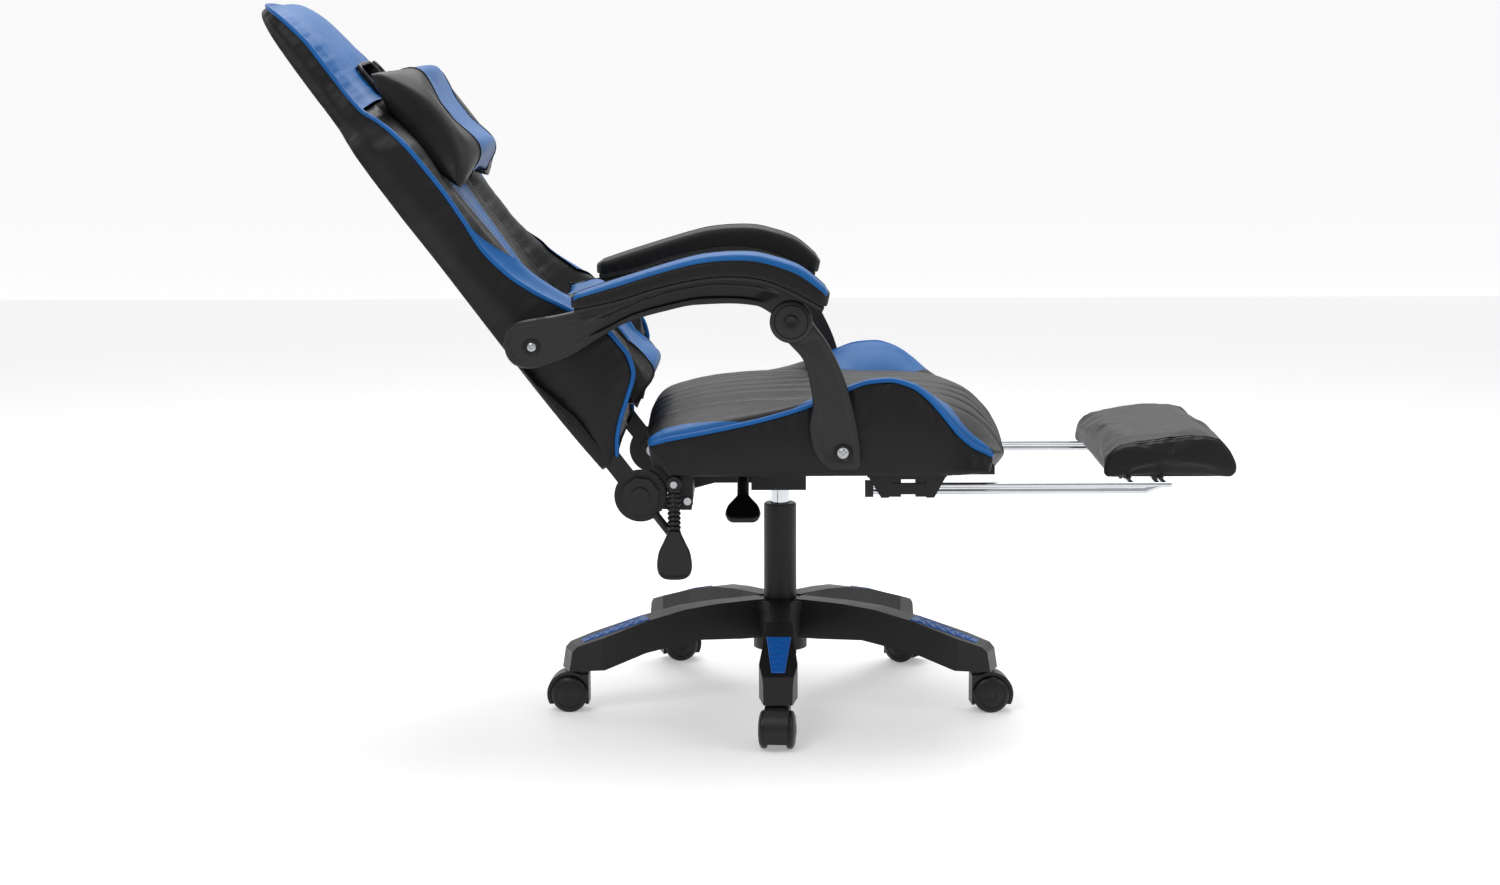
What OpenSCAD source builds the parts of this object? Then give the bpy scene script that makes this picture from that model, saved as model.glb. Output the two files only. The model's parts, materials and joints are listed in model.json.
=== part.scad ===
// Reclining racing-style office chair with linked armrests and a slide-out footrest.
// +X is forward, +Z is up and the sitter's right is -Y. The origin is on the floor under the gas lift.
// Drawn with the back reclined, the footrest out and the lift at its lowest. All sizes in millimetres.

/* [Gas lift] */
// Outer diameter of the column tube
column_d = 50; // [44:1:60]
// Wall of the column tube
column_wall = 1.5; // [1:0.1:3]
// Height of the top of the column tube
column_top = 301; // [285:1:308]
// Outer diameter of the chrome cylinder
cylinder_d = 28; // [26:1:34]
// Diameter of the piston rod
rod_d = 10; // [8:1:12]

/* [Base] */
// Distance from the column to each caster stem
base_reach = 316; // [280:1:380]
// Width of an arm at its shoulder
arm_w = 56; // [46:1:66]
// Width of an arm at its tip
arm_tip_w = 41; // [34:1:50]
// Thickness of the coloured inlays
inlay_t = 3; // [2:0.5:5]

/* [Casters] */
// Wheel diameter
wheel_d = 55; // [46:1:56]
// Width of one wheel
wheel_w = 14.5; // [10:0.5:18]
// Width of the web between the two wheels
caster_web = 25; // [20:1:30]
// Distance of the wheels behind the stem
caster_trail = 17; // [12:1:20]
// Diameter of the caster stem
stem_d = 11; // [9:1:13]

/* [Seat] */
// Width across the side bolsters
seat_w = 530; // [460:1:640]
// Thickness of the seat board
board_t = 12; // [8:1:16]
// Thickness of the recliner plates and brackets
plate_t = 5; // [4:0.5:6]
// Diameter of the recliner bolts
pivot_d = 12; // [10:1:14]

/* [Back] */
// Distance of the wings inside the seat's side faces
wing_inset = 3; // [1:1:50]
// Half-width of the padding at the head
head_half = 160; // [140:1:190]
// Size of the square frame tube
frame_tube = 20; // [16:1:22]

/* [Armrests] */
// Thickness of the post
post_t = 16; // [12:1:18]
// Width of the armrest pad
pad_w = 73; // [60:1:90]
// Diameter of the hub disc
hub_disc_d = 61; // [54:1:66]
// Diameter of the bolts the posts and armrests turn on
arm_bolt_d = 10; // [8:1:12]

/* [Footrest] */
// Diameter of each chrome rod
rail_d = 8; // [6:0.5:8.5]
// Width of the footrest pad
footrest_w = 400; // [320:1:430]
// Radial clearance of the rods in their slide blocks
rail_gap = 0.05; // [0.02:0.01:0.1]

/* [Hidden] */
$fn = 48;
eps = 0.01;
run = 0.05; // radial clearance of every turning or sliding fit
gap = 0.3; // clearance between curved faces of different bodies

// Recliner, in the X-Z plane
recliner = [-204, 352];
lean = 37.5; // angle of the back from the vertical
arm_rear = [-354, 575]; // armrest bolt in the back
knuckle = [14, 610]; // hub that joins the armrest to its post
post_foot = [88, 420]; // post bolt in the seat

// Layers outwards from the centre plane
side_y = seat_w / 2;
wing_half = side_y - wing_inset;
seat_plate_y = side_y - 36;
bracket_y = seat_plate_y + plate_t + 2;
cover_y = bracket_y + plate_t + 1;
arm_y = side_y + 4;
web_y = arm_y + post_t + 2;
web_t = 12;
pad_y = arm_y + 3;
tray_t = 7; // moulded tray under the pad

// Seat
seat_low = 384;
board_z = 380;
board_rear = -180;
board_front = 310;
shaft = [-155, 372];
shaft_d = 10;
sector_r = 38;
lug_t = 5;
lever_x = -56;
lever_z = 366;
lever_d = 8;
lever_pivot_y = 47;
lever_pin_d = 6;
valve_press = 3; // deepest travel of the valve pin
valve_d = 6;
mech_half = 60;
mech_wall = 3;
mech_low = 331;

// Gas lift
tube_low = 66;
tube_bore = column_d - 2 * column_wall;
cylinder_low = 90;
cylinder_top = 372;
cylinder_bore = cylinder_d - 3;
piston_d = cylinder_bore - 2 * run;
gland = 8;

// Casters
arm_turn = [-91, -163, 125, 53, -19]; // direction of each base arm
caster_turn = [-95, 178, 12, -28, 4]; // direction in which each caster trails
wheel_r = wheel_d / 2;
axle_d = 8;
socket_z = 64;
fender_in = wheel_r + 1.5;
fender_t = 5;
fender_w = caster_web + 10;

// Footrest
rail_y = side_y - 45;
rail_top = 363;
rail_low = rail_top - rail_d - 1;
rail_rear = 128;
rail_bend = 530;
rail_end = 568;
hinge_x = 559;
rest_x = 511;
pad_low = 370;
bracket_sheet = 3;

// ---- Helpers ----

// Points of a smooth curve through the given points (Catmull-Rom, n steps a span)
function along(p, i) = p[max(0, min(len(p) - 1, i))];
function blend3(a, b, c, d, u) =
    0.5 * (2 * b + (c - a) * u + (2 * a - 5 * b + 4 * c - d) * u * u + (3 * b - a - 3 * c + d) * u * u * u);
function curve(p, n = 4) = [
    for (i = [0:len(p) - 2], k = [0:n - 1]) blend3(along(p, i - 1), p[i], p[i + 1], along(p, i + 2), k / n),
    p[len(p) - 1]
];
// Points of an arc about c
function arc(c, r, from, to, n = 10) = [for (i = [0:n]) let (a = from + (to - from) * i / n)
    c + r * [cos(a), sin(a)]];
function moved(p, d) = [for (q = p) q + d];
function flip(p) = [for (i = [len(p) - 1:-1:0]) p[i]];
// Mirrored copy of points about the second axis, so an outline is symmetric
function both(p) = concat(p, [for (q = flip(p)) [-q[0], q[1]]]);

// A flat piece drawn in X-Z, between two distances from the centre plane
module slab(y0, y1) {
    translate([0, y1, 0]) rotate([90, 0, 0]) linear_extrude(y1 - y0) children();
}
// A rod along Y in the X-Z plane at p
module pin(p, d, y0, y1) {
    translate([p[0], y0, p[1]]) rotate([-90, 0, 0]) cylinder(d = d, h = y1 - y0);
}
// side = 1 is the left as drawn, side = -1 mirrors it to the right
module on(side) {
    if (side > 0) children(); else mirror([0, 1, 0]) children();
}
module pair() {
    on(1) children();
    on(-1) children();
}
// The back's own axes: X out of its front face, Z up along it, from the recliner axis
module back_axes() {
    translate([recliner[0], 0, recliner[1]]) rotate([0, -lean, 0]) children();
}
// A point of the X-Z plane in the back's own axes
function in_back(p) = let (d = p - recliner)
    [d[0] * cos(lean) + d[1] * sin(lean), -d[0] * sin(lean) + d[1] * cos(lean)];

// ---- Base ----

module arm_side() {
    r = base_reach;
    polygon([[30, 96], [69, 96], [r - 179, 99], [r - 126, 90], [r - 96, 85], [r - 30, socket_z],
             [r + 24, socket_z], [r + 19, 94], [r + 11, 102], [r - 96, 134], [r - 159, 148],
             [108, 153], [45, 156], [30, 156]]);
}
module arm_plan() {
    r = base_reach;
    polygon([[10, -16], [80, -16], [r - 96, -arm_w / 2 + 6], [r - 26, -arm_w / 2], [r + 26, -arm_tip_w / 2],
             [r + 26, arm_tip_w / 2], [r - 26, arm_w / 2], [r - 96, arm_w / 2 - 6], [80, 16], [10, 16]]);
}
module inlay_plan(grow) {
    r = base_reach;
    polygon([[r - 103 - grow, -18 - grow], [r - 2 + grow, -10 - grow],
             [r - 2 + grow, 10 + grow], [r - 103 - grow, 18 + grow]]);
}
// The band just under the arm's sloping top
module inlay_side(low, high) {
    r = base_reach;
    polygon([[r - 110, 138.2 - low], [r + 8, 102.8 - low], [r + 8, 102.8 + high], [r - 110, 138.2 + high]]);
}
module on_arms() {
    for (a = arm_turn) rotate([0, 0, a]) children();
}
module base_star() color("#1b1c1d") difference() {
    union() {
        on_arms() intersection() {
            slab(-arm_w, arm_w) arm_side();
            linear_extrude(200) arm_plan();
        }
        translate([0, 0, 78]) cylinder(r = 41, h = 76);
        translate([0, 0, 140]) cylinder(r = 44, h = 14);
    }
    cylinder(d = column_d, h = 200);
    on_arms() translate([base_reach, 0, 0]) cylinder(r = stem_d / 2 + run, h = socket_z + 22);
    on_arms() intersection() {
        slab(-40, 40) inlay_side(inlay_t - 1, 10);
        linear_extrude(200) inlay_plan(0.4);
    }
    // hollow underside of each arm, with the ribs left standing
    on_arms() for (x = [64, 110, 156])
        translate([x, -11, 60]) cube([40, 22, 78]);
}
module base_inlays() color("#2a6fb8") on_arms() intersection() {
    slab(-40, 40) inlay_side(inlay_t - 1, 1);
    linear_extrude(200) inlay_plan(0);
}
module column_tube() color("#17181a") difference() {
    translate([0, 0, tube_low]) cylinder(d = column_d, h = column_top - tube_low);
    translate([0, 0, tube_low + 3]) cylinder(d = tube_bore, h = column_top);
    translate([0, 0, tube_low - 1]) cylinder(r = rod_d / 2 + 0.5, h = 10);
}
module column_bush() color("#26272a") difference() {
    union() {
        translate([0, 0, column_top - 90]) cylinder(d = tube_bore, h = 90);
        translate([0, 0, column_top]) cylinder(d = column_d - 4, h = 2);
    }
    cylinder(r = cylinder_d / 2 + run, h = 400);
}

// ---- Casters, drawn with the stem at the origin and the wheels behind it along X ----

module at_caster(i) {
    rotate([0, 0, arm_turn[i]]) translate([base_reach, 0, 0])
        rotate([0, 0, caster_turn[i] - arm_turn[i]]) children();
}
module hood() difference() {
    union() {
        intersection() {
            pin([caster_trail, wheel_r], 2 * (fender_in + fender_t), -fender_w / 2, fender_w / 2);
            translate([-12, -50, 12]) cube([100, 100, 100]);
        }
        translate([-12, -fender_w / 2, wheel_r]) cube([26, fender_w, 30]);
        cylinder(d = 24, h = socket_z - gap);
        cylinder(d = stem_d, h = socket_z + 20);
    }
    // wheel wells under the fender
    pair() pin([caster_trail, wheel_r], 2 * fender_in, caster_web / 2, fender_w);
    pin([caster_trail, wheel_r], axle_d + 2 * run, -50, 50);
    translate([-50, -50, -1]) cube([100, 100, 13]);
}
module wheels() {
    pair() difference() {
        pin([caster_trail, wheel_r], wheel_d, caster_web / 2 + 0.5, caster_web / 2 + 0.5 + wheel_w);
        pin([caster_trail, wheel_r], wheel_d - 16, caster_web / 2 + wheel_w - 1.5, 60);
    }
    pin([caster_trail, wheel_r], axle_d, -caster_web / 2 - 5, caster_web / 2 + 5);
    pair() pin([caster_trail, wheel_r], 20, caster_web / 2 + wheel_w - 3, caster_web / 2 + wheel_w);
}
module caster_hood(i) color("#1b1c1d") at_caster(i) hood();
module caster_wheels(i) color("#101112") at_caster(i) wheels();

// ---- Gas lift ----

module piston_rod() color("#c9ccd0") {
    translate([0, 0, tube_low + 3 + 8]) cylinder(d = rod_d, h = 300 - tube_low - 11);
    translate([0, 0, 290]) cylinder(d = piston_d, h = 12);
}
module thrust_bearing() color("#8e9196") difference() {
    translate([0, 0, tube_low + 3 + gap]) cylinder(d = 24, h = 8 - gap);
    translate([0, 0, tube_low]) cylinder(d = rod_d - 4, h = 20);
}
module gas_cylinder() color("#c9ccd0") difference() {
    translate([0, 0, cylinder_low]) cylinder(d = cylinder_d, h = cylinder_top - cylinder_low);
    translate([0, 0, cylinder_low + gland]) cylinder(d = cylinder_bore, h = 250);
    translate([0, 0, cylinder_low - 1]) cylinder(r = rod_d / 2 + run, h = gland + 2);
    translate([0, 0, cylinder_top - 30]) cylinder(r = valve_d / 2 + run, h = 40);
}
module valve_pin() color("#b0b3b8")
    translate([0, 0, cylinder_top - 18]) cylinder(d = valve_d, h = 19 + valve_press);

// ---- Seat mechanism ----

module mechanism_plate() color("#1e1f21") difference() {
    union() {
        translate([-110, -85, board_z - mech_wall]) cube([200, 170, mech_wall]);
        translate([-44, -mech_half, mech_low]) cube([83, 2 * mech_half, board_z - mech_low]);
        translate([0, 0, 327]) cylinder(r1 = 17, r2 = 19, h = 10);
    }
    translate([-44 + mech_wall, -mech_half + mech_wall, mech_low + mech_wall])
        cube([83 - 2 * mech_wall, 2 * (mech_half - mech_wall), board_z]);
    cylinder(d = cylinder_d, h = 400);
    // slot for the height lever in the side wall
    translate([lever_x + 12, -100, lever_z - 10]) cube([20, 50, 20]);
    pin([lever_x + 22, lever_z], 22, -100, -mech_half + 10);
    // bearing of the lever's pivot pin in the rear wall
    translate([-50, -lever_pivot_y, lever_z]) rotate([0, 90, 0]) cylinder(r = lever_pin_d / 2 + run, h = 20);
}
module rear_beam() color("#1e1f21") {
    slab(-25, 25) polygon([[-130, 329], [-130, 356], [-112, 377], [-44, 377], [-44, 337], [-100, 337]]);
    slab(-seat_plate_y, seat_plate_y) difference() {
        translate([-145, 329]) square([15, 27]);
        translate([-142, 332]) square([9, 21]);
    }
}
module recliner_plate(side) color("#222326") on(side) difference() {
    slab(seat_plate_y, seat_plate_y + plate_t) polygon(concat(
        arc(recliner, 20, 200, 270, 6), [[-136, 330], [-128, 338], [-128, 400], [-136, 408], [-176, 408],
        [-188, 396]], arc(recliner, 20, 60, 160, 6)));
    pin(shaft, shaft_d + 2 * run, 0, side_y);
    pin(recliner, pivot_d, 0, side_y);
}
module pivot_bolts() color("#9b9ea3") pair() {
    pin(recliner, pivot_d, seat_plate_y - 4, cover_y + 4);
    pin(recliner, pivot_d + 8, seat_plate_y - 8, seat_plate_y);
}
module seat_board() color("#3a3b3d") difference() {
    union() {
        translate([board_rear, -seat_plate_y, board_z]) cube([board_front - board_rear, 2 * seat_plate_y, board_t]);
        pair() slab(seat_plate_y - lug_t, seat_plate_y) {
            translate([post_foot[0] - 20, board_z]) square([40, 46]);
            translate([post_foot[0], board_z + 46]) circle(r = 20);
        }
    }
    pair() pin(post_foot, arm_bolt_d, 0, side_y);
    translate([-60, -50, board_z - 1]) cube([100, 100, board_t + 2]);
}
// Outline of the seat at the bolsters, seen from the side
function bolster_side() = concat(
    [[-170, seat_low], [-190, 402], [-194, 426]],
    curve([[-188, 432], [-119, 444], [-53, 458], [-3, 472], [43, 485], [99, 508], [155, 521], [204, 501],
           [247, 451], [284, 418], [306, 412]]),
    [[312, 404], [300, seat_low]]);
function centre_side() = concat(
    [[-170, seat_low], [-192, 402]],
    curve([[-196, 436], [-184, 458], [-149, 472], [-107, 483], [-29, 489], [104, 490], [223, 487], [290, 469],
           [322, 430], [333, 400]]),
    [[326, seat_low]]);
module seat_cushion() color("#151617") difference() {
    union() {
        slab(-side_y + 85, side_y - 85) polygon(centre_side());
        pair() intersection() {
            slab(side_y - 100, side_y) polygon(bolster_side());
            translate([-300, 0, 0]) rotate([90, 0, 90]) linear_extrude(700) polygon([
                [side_y - 100, 300], [side_y - 6, 300], [side_y, 400], [side_y, 516], [side_y - 14, 526],
                [side_y - 44, 522], [side_y - 100, 480]]);
        }
    }
    translate([board_rear, -seat_plate_y, 300]) cube([board_front - board_rear, 2 * seat_plate_y, board_z + board_t - 300]);
    // room for the recliner plates and brackets at the rear corners
    pair() translate([-240, seat_plate_y - 1, 300]) cube([118, 60, 114]);
    // pocket for the post lugs
    pair() slab(seat_plate_y - lug_t, seat_plate_y) {
        translate([post_foot[0] - 20, board_z]) square([40, 46]);
        translate([post_foot[0], board_z + 46]) circle(r = 20);
    }
    pair() pin(post_foot, 20, seat_plate_y - eps, side_y + 10);
    pair() pin(post_foot, arm_bolt_d, seat_plate_y - lug_t - 3, seat_plate_y);
}
module seat_bolts() color("#8b8e93") {
    for (x = [-96, 76], y = [-72, 72]) translate([x, y, board_z - mech_wall - 5]) cylinder(d = 13, h = 5);
    pair() for (x = [146, 219]) translate([x, rail_y - 22, board_z - bracket_sheet - 5]) cylinder(d = 11, h = 5);
    pair() for (p = [[-136, 398], [-136, 343]]) pin(p, 11, seat_plate_y + plate_t, seat_plate_y + plate_t + 5);
}
module post_bolts() color("#a4a7ab") pair() {
    pin(post_foot, arm_bolt_d, seat_plate_y - lug_t - 2, arm_y + post_t - 2);
    pin(post_foot, 18, seat_plate_y, arm_y - 1);
    pin(post_foot, arm_bolt_d + 6, arm_y + post_t - 2 + gap, arm_y + post_t + 1);
    pin(post_foot, arm_bolt_d, arm_y, arm_y + post_t);
}

// ---- Levers ----

// A coil-sleeved stem hanging down from the origin, with its moulded paddle
module grip(stem_l, stem_w, paddle_l, paddle_w) {
    translate([0, 0, -stem_l]) cylinder(d = stem_w, h = stem_l);
    for (k = [0:floor((stem_l - 10) / 7)])
        translate([0, 0, -8 - 7 * k]) rotate_extrude() translate([stem_w / 2 - 1.5, 0]) circle(r = 2, $fn = 16);
    slab(-4, 4) polygon(both([for (q = concat(
        [[0, -stem_l - paddle_l]], curve([[paddle_w * 0.3, -stem_l - paddle_l + 1],
        [paddle_w * 0.48, -stem_l - paddle_l + 12], [paddle_w * 0.46, -stem_l - paddle_l * 0.5],
        [paddle_w * 0.2, -stem_l + 2]]), [[0, -stem_l + 6]])) q]));
}
module lift_rod() color("#2a2b2d") {
    pin([lever_x + 22, lever_z], lever_d, -78, -12);
    pin([lever_x + 22, lever_z], 13, -lever_pivot_y - 6, -lever_pivot_y + 6);
    translate([-47, -lever_pivot_y, lever_z]) rotate([0, 90, 0]) cylinder(d = lever_pin_d, h = 21);
    translate([-49, -lever_pivot_y, lever_z]) rotate([0, 90, 0]) cylinder(d = lever_pin_d + 4, h = 3);
    // tongue that reaches over the gas cylinder and presses the valve pin
    tongue_z = cylinder_top + 1 + valve_press + 0.5;
    translate([lever_x + 18, -20, lever_z - 4]) cube([8, 9, tongue_z + 3 - lever_z + 4]);
    translate([lever_x + 18, -20, tongue_z]) cube([8, 24, 3]);
    translate([lever_x + 18, -4, tongue_z]) cube([42, 8, 3]);
    translate([lever_x - 4, -86, lever_z - 4]) cube([30, 8, 8]);
}
module lift_grip() color("#161718")
    translate([lever_x, -86, lever_z - 4]) rotate([-62, 0, 0]) grip(62, 17, 58, 53);
module release_shaft() color("#6f7276") {
    pin(shaft, shaft_d, -side_y - 4, seat_plate_y + plate_t + 8);
    pair() slab(bracket_y + 0.5, bracket_y + plate_t - 0.5)
        polygon([shaft + [-9, 7], shaft + [7, 7], shaft + [9, -8], shaft + [2, -24],
                 recliner + [sector_r + 0.8, -2], recliner + [sector_r + 0.8, 4], shaft + [-9, -8]]);
}
module recline_grip() color("#161718")
    translate([shaft[0], -side_y + 12, shaft[1]]) difference() {
        union() {
            pin([0, 0], 22, -9, 9);
            grip(72, 19, 70, 52);
        }
        pin([0, 0], shaft_d, -20, 20);
    }

// ---- Footrest ----

module rail_bracket(side) color("#1e1f21") on(side) difference() {
    union() {
        slab(rail_y + 12, rail_y + 12 + bracket_sheet) difference() {
            polygon([[125, board_z], [240, board_z], [222, 347], [211, 347], [207, 352], [160, 352],
                     [156, 347], [145, 347]]);
            translate([162, 368]) square([48, 6]);
        }
        translate([125, rail_y - 34, board_z - bracket_sheet]) cube([115, 46 + bracket_sheet, bracket_sheet]);
    }
}
module rail_guides() color("#141516") pair() difference() {
    for (x = [150, 195]) translate([x, rail_y - 8, 348]) cube([24, 20, board_z - bracket_sheet - 348]);
    for (z = [rail_top, rail_low]) translate([100, rail_y, z]) rotate([0, 90, 0]) cylinder(r = rail_d / 2 + rail_gap, h = 200);
}
module rail(side) color("#c9ccd0") on(side) {
    translate([rail_rear, rail_y, rail_top]) rotate([0, 90, 0]) cylinder(d = rail_d, h = rail_end - rail_rear);
    translate([rail_rear, rail_y, rail_low]) rotate([0, 90, 0]) cylinder(d = rail_d, h = rail_bend - rail_rear);
    translate([rail_bend, rail_y, rail_low]) sphere(d = rail_d);
    rise = rail_top - rail_low;
    translate([rail_bend, rail_y, rail_low]) rotate([0, atan2(24, rise), 0])
        cylinder(d = rail_d, h = norm([24, rise]));
}
module rail_crossbars() color("#c9ccd0") difference() {
    for (x = [hinge_x, rest_x]) pin([x, rail_top], rail_d, -rail_y + 1, rail_y - 1);
    pair() translate([rail_rear, rail_y, rail_top]) rotate([0, 90, 0]) cylinder(d = rail_d, h = 600);
}
module rail_end_caps() color("#141516") pair() difference() {
    translate([rail_rear - 6, rail_y - 7, rail_low - 7]) cube([12, 14, rail_top - rail_low + 14]);
    for (z = [rail_top, rail_low]) translate([rail_rear, rail_y, z]) rotate([0, 90, 0]) cylinder(d = rail_d, h = 40);
}
module footrest_board() color("#3a3b3d")
    translate([486, -footrest_w / 2 + 14, pad_low]) cube([170, footrest_w - 28, 8]);
module footrest_cushion() color("#191a1b") difference() {
    slab(-footrest_w / 2, footrest_w / 2) polygon(concat([[484, pad_low], [470, 374]],
        curve([[470, 384], [484, 414], [530, 427], [590, 433], [640, 431], [660, 416], [674, 386]]), [[664, pad_low]]));
    translate([486, -footrest_w / 2 + 14, pad_low - 1]) cube([170, footrest_w - 28, 9]);
}
module footrest_clips() color("#222326") for (y = [-130, 130]) translate([0, y - 12, 0]) {
    difference() {
        union() {
            translate([hinge_x - 9, 0, rail_top]) cube([18, 24, pad_low - rail_top]);
            pin([hinge_x, rail_top], 18, 0, 24);
        }
        pin([hinge_x, rail_top], rail_d + 2 * run, -1, 30);
        translate([hinge_x - 10, -1, pad_low]) cube([20, 30, 20]);
    }
    difference() {
        translate([rest_x - 9, 0, rail_top - 3]) cube([18, 24, pad_low - rail_top + 3]);
        pin([rest_x, rail_top], rail_d + 2 * gap, -1, 30);
        translate([rest_x - rail_d / 2 - gap, -1, rail_top - 10]) cube([rail_d + 2 * gap, 30, 10]);
    }
}

// ---- Back ----

module frame_loop() {
    h = frame_tube;
    pair() translate([-16, seat_plate_y + 7 - h, 60]) cube([h, h, 540]);
    for (t = [104, 340, 580]) translate([-16, -seat_plate_y - 7 + h, t]) cube([h, 2 * (seat_plate_y + 7 - h), h]);
    pair() translate([-16, head_half - 50, 580]) cube([h, h, 220]);
    translate([-16, -head_half + 50, 780]) cube([h, 2 * (head_half - 50), h]);
    // lugs for the armrest bolts
    b = in_back(arm_rear);
    pair() translate([4, bracket_y - lug_t, b[1] - 20]) cube([b[0] + 10, lug_t, 40]);
}
module back_frame() color("#3a3b3d") back_axes() difference() {
    frame_loop();
    pair() pin(in_back(arm_rear), arm_bolt_d, 0, side_y);
}
module back_bracket(side) color("#222326") on(side) back_axes() difference() {
    union() {
        slab(bracket_y, bracket_y + plate_t) {
            difference() {
                circle(r = sector_r);
                // teeth on the front of the sector
                for (k = [-5:5]) rotate(-lean + 8 * k) translate([sector_r, 0]) rotate(45) square(3, center = true);
            }
            translate([-14, 0]) square([28, 122]);
        }
        translate([0, bracket_y + plate_t / 2, -100]) cylinder(d = 12, h = 66);
    }
    pin([0, 0], pivot_d + 2 * run, 0, side_y);
}
module recliner_covers() color("#141516") back_axes() pair() difference() {
    union() {
        slab(cover_y - 1, cover_y + 6) rotate(22.5) circle(r = 28, $fn = 8);
        pin([0, 0], 26, cover_y + 6, cover_y + 11);
    }
    pin([0, 0], pivot_d + 2 * run + 0.4, 0, cover_y + 5);
}
// Front outline of the back: half-width against height
function back_half() = concat([[seat_plate_y + 6, 60]], curve([[wing_half - 10, 110], [wing_half - 4, 180],
    [wing_half - 12, 300], [wing_half - 14, 420], [wing_half, 575], [wing_half - 12, 640], [head_half + 24, 688],
    [head_half + 4, 730], [head_half, 800], [head_half - 20, 878], [head_half - 44, 903]]));
module back_outline() {
    rotate([90, 0, 90]) linear_extrude(400, center = true) polygon(both(back_half()));
}
// Outline of the wings, seen from the side, as distance out of the back against height
function wing_side() = concat([[-12, 60], [4, 60], [6, 84]],
    curve([[27, 102], [54, 119], [79, 134], [106, 156], [112, 196], [92, 262], [60, 332], [44, 400], [48, 470],
           [56, 560], [46, 640], [24, 676], [16, 720]]), [[-12, 720]]);
function spine_side() = concat([[-12, 60], [4, 60], [4, 122], [34, 134]],
    curve([[40, 160], [42, 300], [42, 480], [52, 600], [57, 729], [45, 788], [39, 847], [12, 889], [-12, 903]]));
module head_slots() pair() slab(22, head_half - 66) polygon([[-200, 684], [200, 684], [200, 740], [-200, 740]]);
module back_padding() intersection() {
    union() {
        slab(-wing_half + 92, wing_half - 92) polygon(spine_side());
        slab(-side_y, side_y) polygon(concat([[-12, 640], [46, 640]],
            curve([[40, 700], [32, 760], [26, 840], [8, 884], [-12, 900]])));
        pair() slab(wing_half - 92, side_y) polygon(wing_side());
    }
    back_outline();
}
module back_cushion() color("#151617") back_axes() difference() {
    back_padding();
    frame_loop();
    head_slots();
    // pockets round the brackets and the armrest bolts
    pair() translate([-30, seat_plate_y + 5.5, 0]) cube([46, 60, 126]);
    pair() pin(in_back(arm_rear), 22, bracket_y - eps, side_y + 10);
    pair() pin(in_back(arm_rear), arm_bolt_d, bracket_y - lug_t - 3, bracket_y);
}
module back_shell() color("#131415") back_axes() difference() {
    intersection() {
        slab(-side_y, side_y) polygon(concat([[-16, 60], [-24, 66]],
            curve([[-24, 300], [-22, 500], [-20, 620], [-25, 740], [-22, 840], [-16, 880], [-12, 900]]),
            [[-12, 620], [-16, 620]]));
        back_outline();
    }
    translate([-16, -seat_plate_y - 7, 56]) cube([10, 2 * (seat_plate_y + 7), 564]);
    pair() translate([-16, head_half - 50, 560]) cube([frame_tube, frame_tube, 240]);
    translate([-16, -head_half + 50, 780]) cube([frame_tube, 2 * (head_half - 50), frame_tube]);
    head_slots();
    pair() translate([-30, seat_plate_y + 5.5, 0]) cube([46, 60, 126]);
}
module head_pillow() color("#1c6bb5") back_axes() slab(-205, 205) polygon(concat(
    [[63, 520]], curve([[63, 560], [63, 680], [72, 704]]),
    curve([[92, 712], [120, 690], [134, 640], [136, 580], [124, 528], [96, 508], [74, 510]])));
module lumbar_pillow() color("#1c6bb5") back_axes() slab(-166, 166) polygon(concat(
    [[44, 160]], curve([[44, 190], [44, 268], [56, 290]]),
    curve([[84, 292], [116, 262], [134, 218], [138, 180], [120, 152], [84, 144], [56, 148]])));
module armrest_bolts() color("#a4a7ab") pair() {
    pin(arm_rear, arm_bolt_d, bracket_y - lug_t - 2, web_y + web_t - 3);
    pin(arm_rear, 18, bracket_y, arm_y - 1);
    pin(arm_rear, arm_bolt_d + 6, web_y + web_t - 3 + gap, web_y + web_t);
    pin(arm_rear, arm_bolt_d, web_y, web_y + web_t - 2);
}

// ---- Armrests ----

function pad_base() = curve([[-291, 632], [-230, 645], [-182, 660], [-131, 672], [-81, 678], [-30, 674], [14, 658],
    [60, 633]]);
function pad_top() = curve([[-291, 653], [-231, 673], [-142, 700], [-98, 709], [-47, 711], [-13, 705], [28, 690],
    [66, 659]]);
module frame_outline() {
    polygon(concat(
        arc(arm_rear - [6, -4], 34, 95, 265, 12),
        curve([[-344, 550], [-310, 557], [-265, 584], [-217, 610], [-166, 625], [-122, 634], [-81, 636],
               [-37, 633], [-10, 622]]),
        arc(knuckle, hub_disc_d / 2 - 3, 240, 400, 12),
        moved(flip(pad_base()), [0, -tray_t / 2]), [[-300, 622]]));
    translate(knuckle) circle(r = hub_disc_d / 2 - 2);
}
module arm_frame(side) color("#222324") on(side) difference() {
    union() {
        slab(web_y, web_y + web_t) frame_outline();
        slab(pad_y + 2, pad_y + pad_w - 4)
            polygon(concat(moved(pad_base(), [0, -tray_t]), flip(pad_base())));
        pin(arm_rear, 60, arm_y, web_y + eps);
        pin(knuckle, hub_disc_d, web_y, web_y + web_t + 4);
        pin(knuckle, 16, arm_y + 1, web_y + eps);
    }
    pin(arm_rear, arm_bolt_d + 2 * run, 0, 400);
    pin(arm_rear, arm_bolt_d + 6 + 2, web_y + web_t - 3, 400);
}
module arm_pad(side) color("#161718") on(side) difference() {
    slab(pad_y, pad_y + pad_w) polygon(concat(pad_base(), flip(pad_top())));
}
module arm_cap(side) color("#3a3c3e") on(side) pin(knuckle, 20, web_y + web_t + 4, web_y + web_t + 8);
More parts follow.
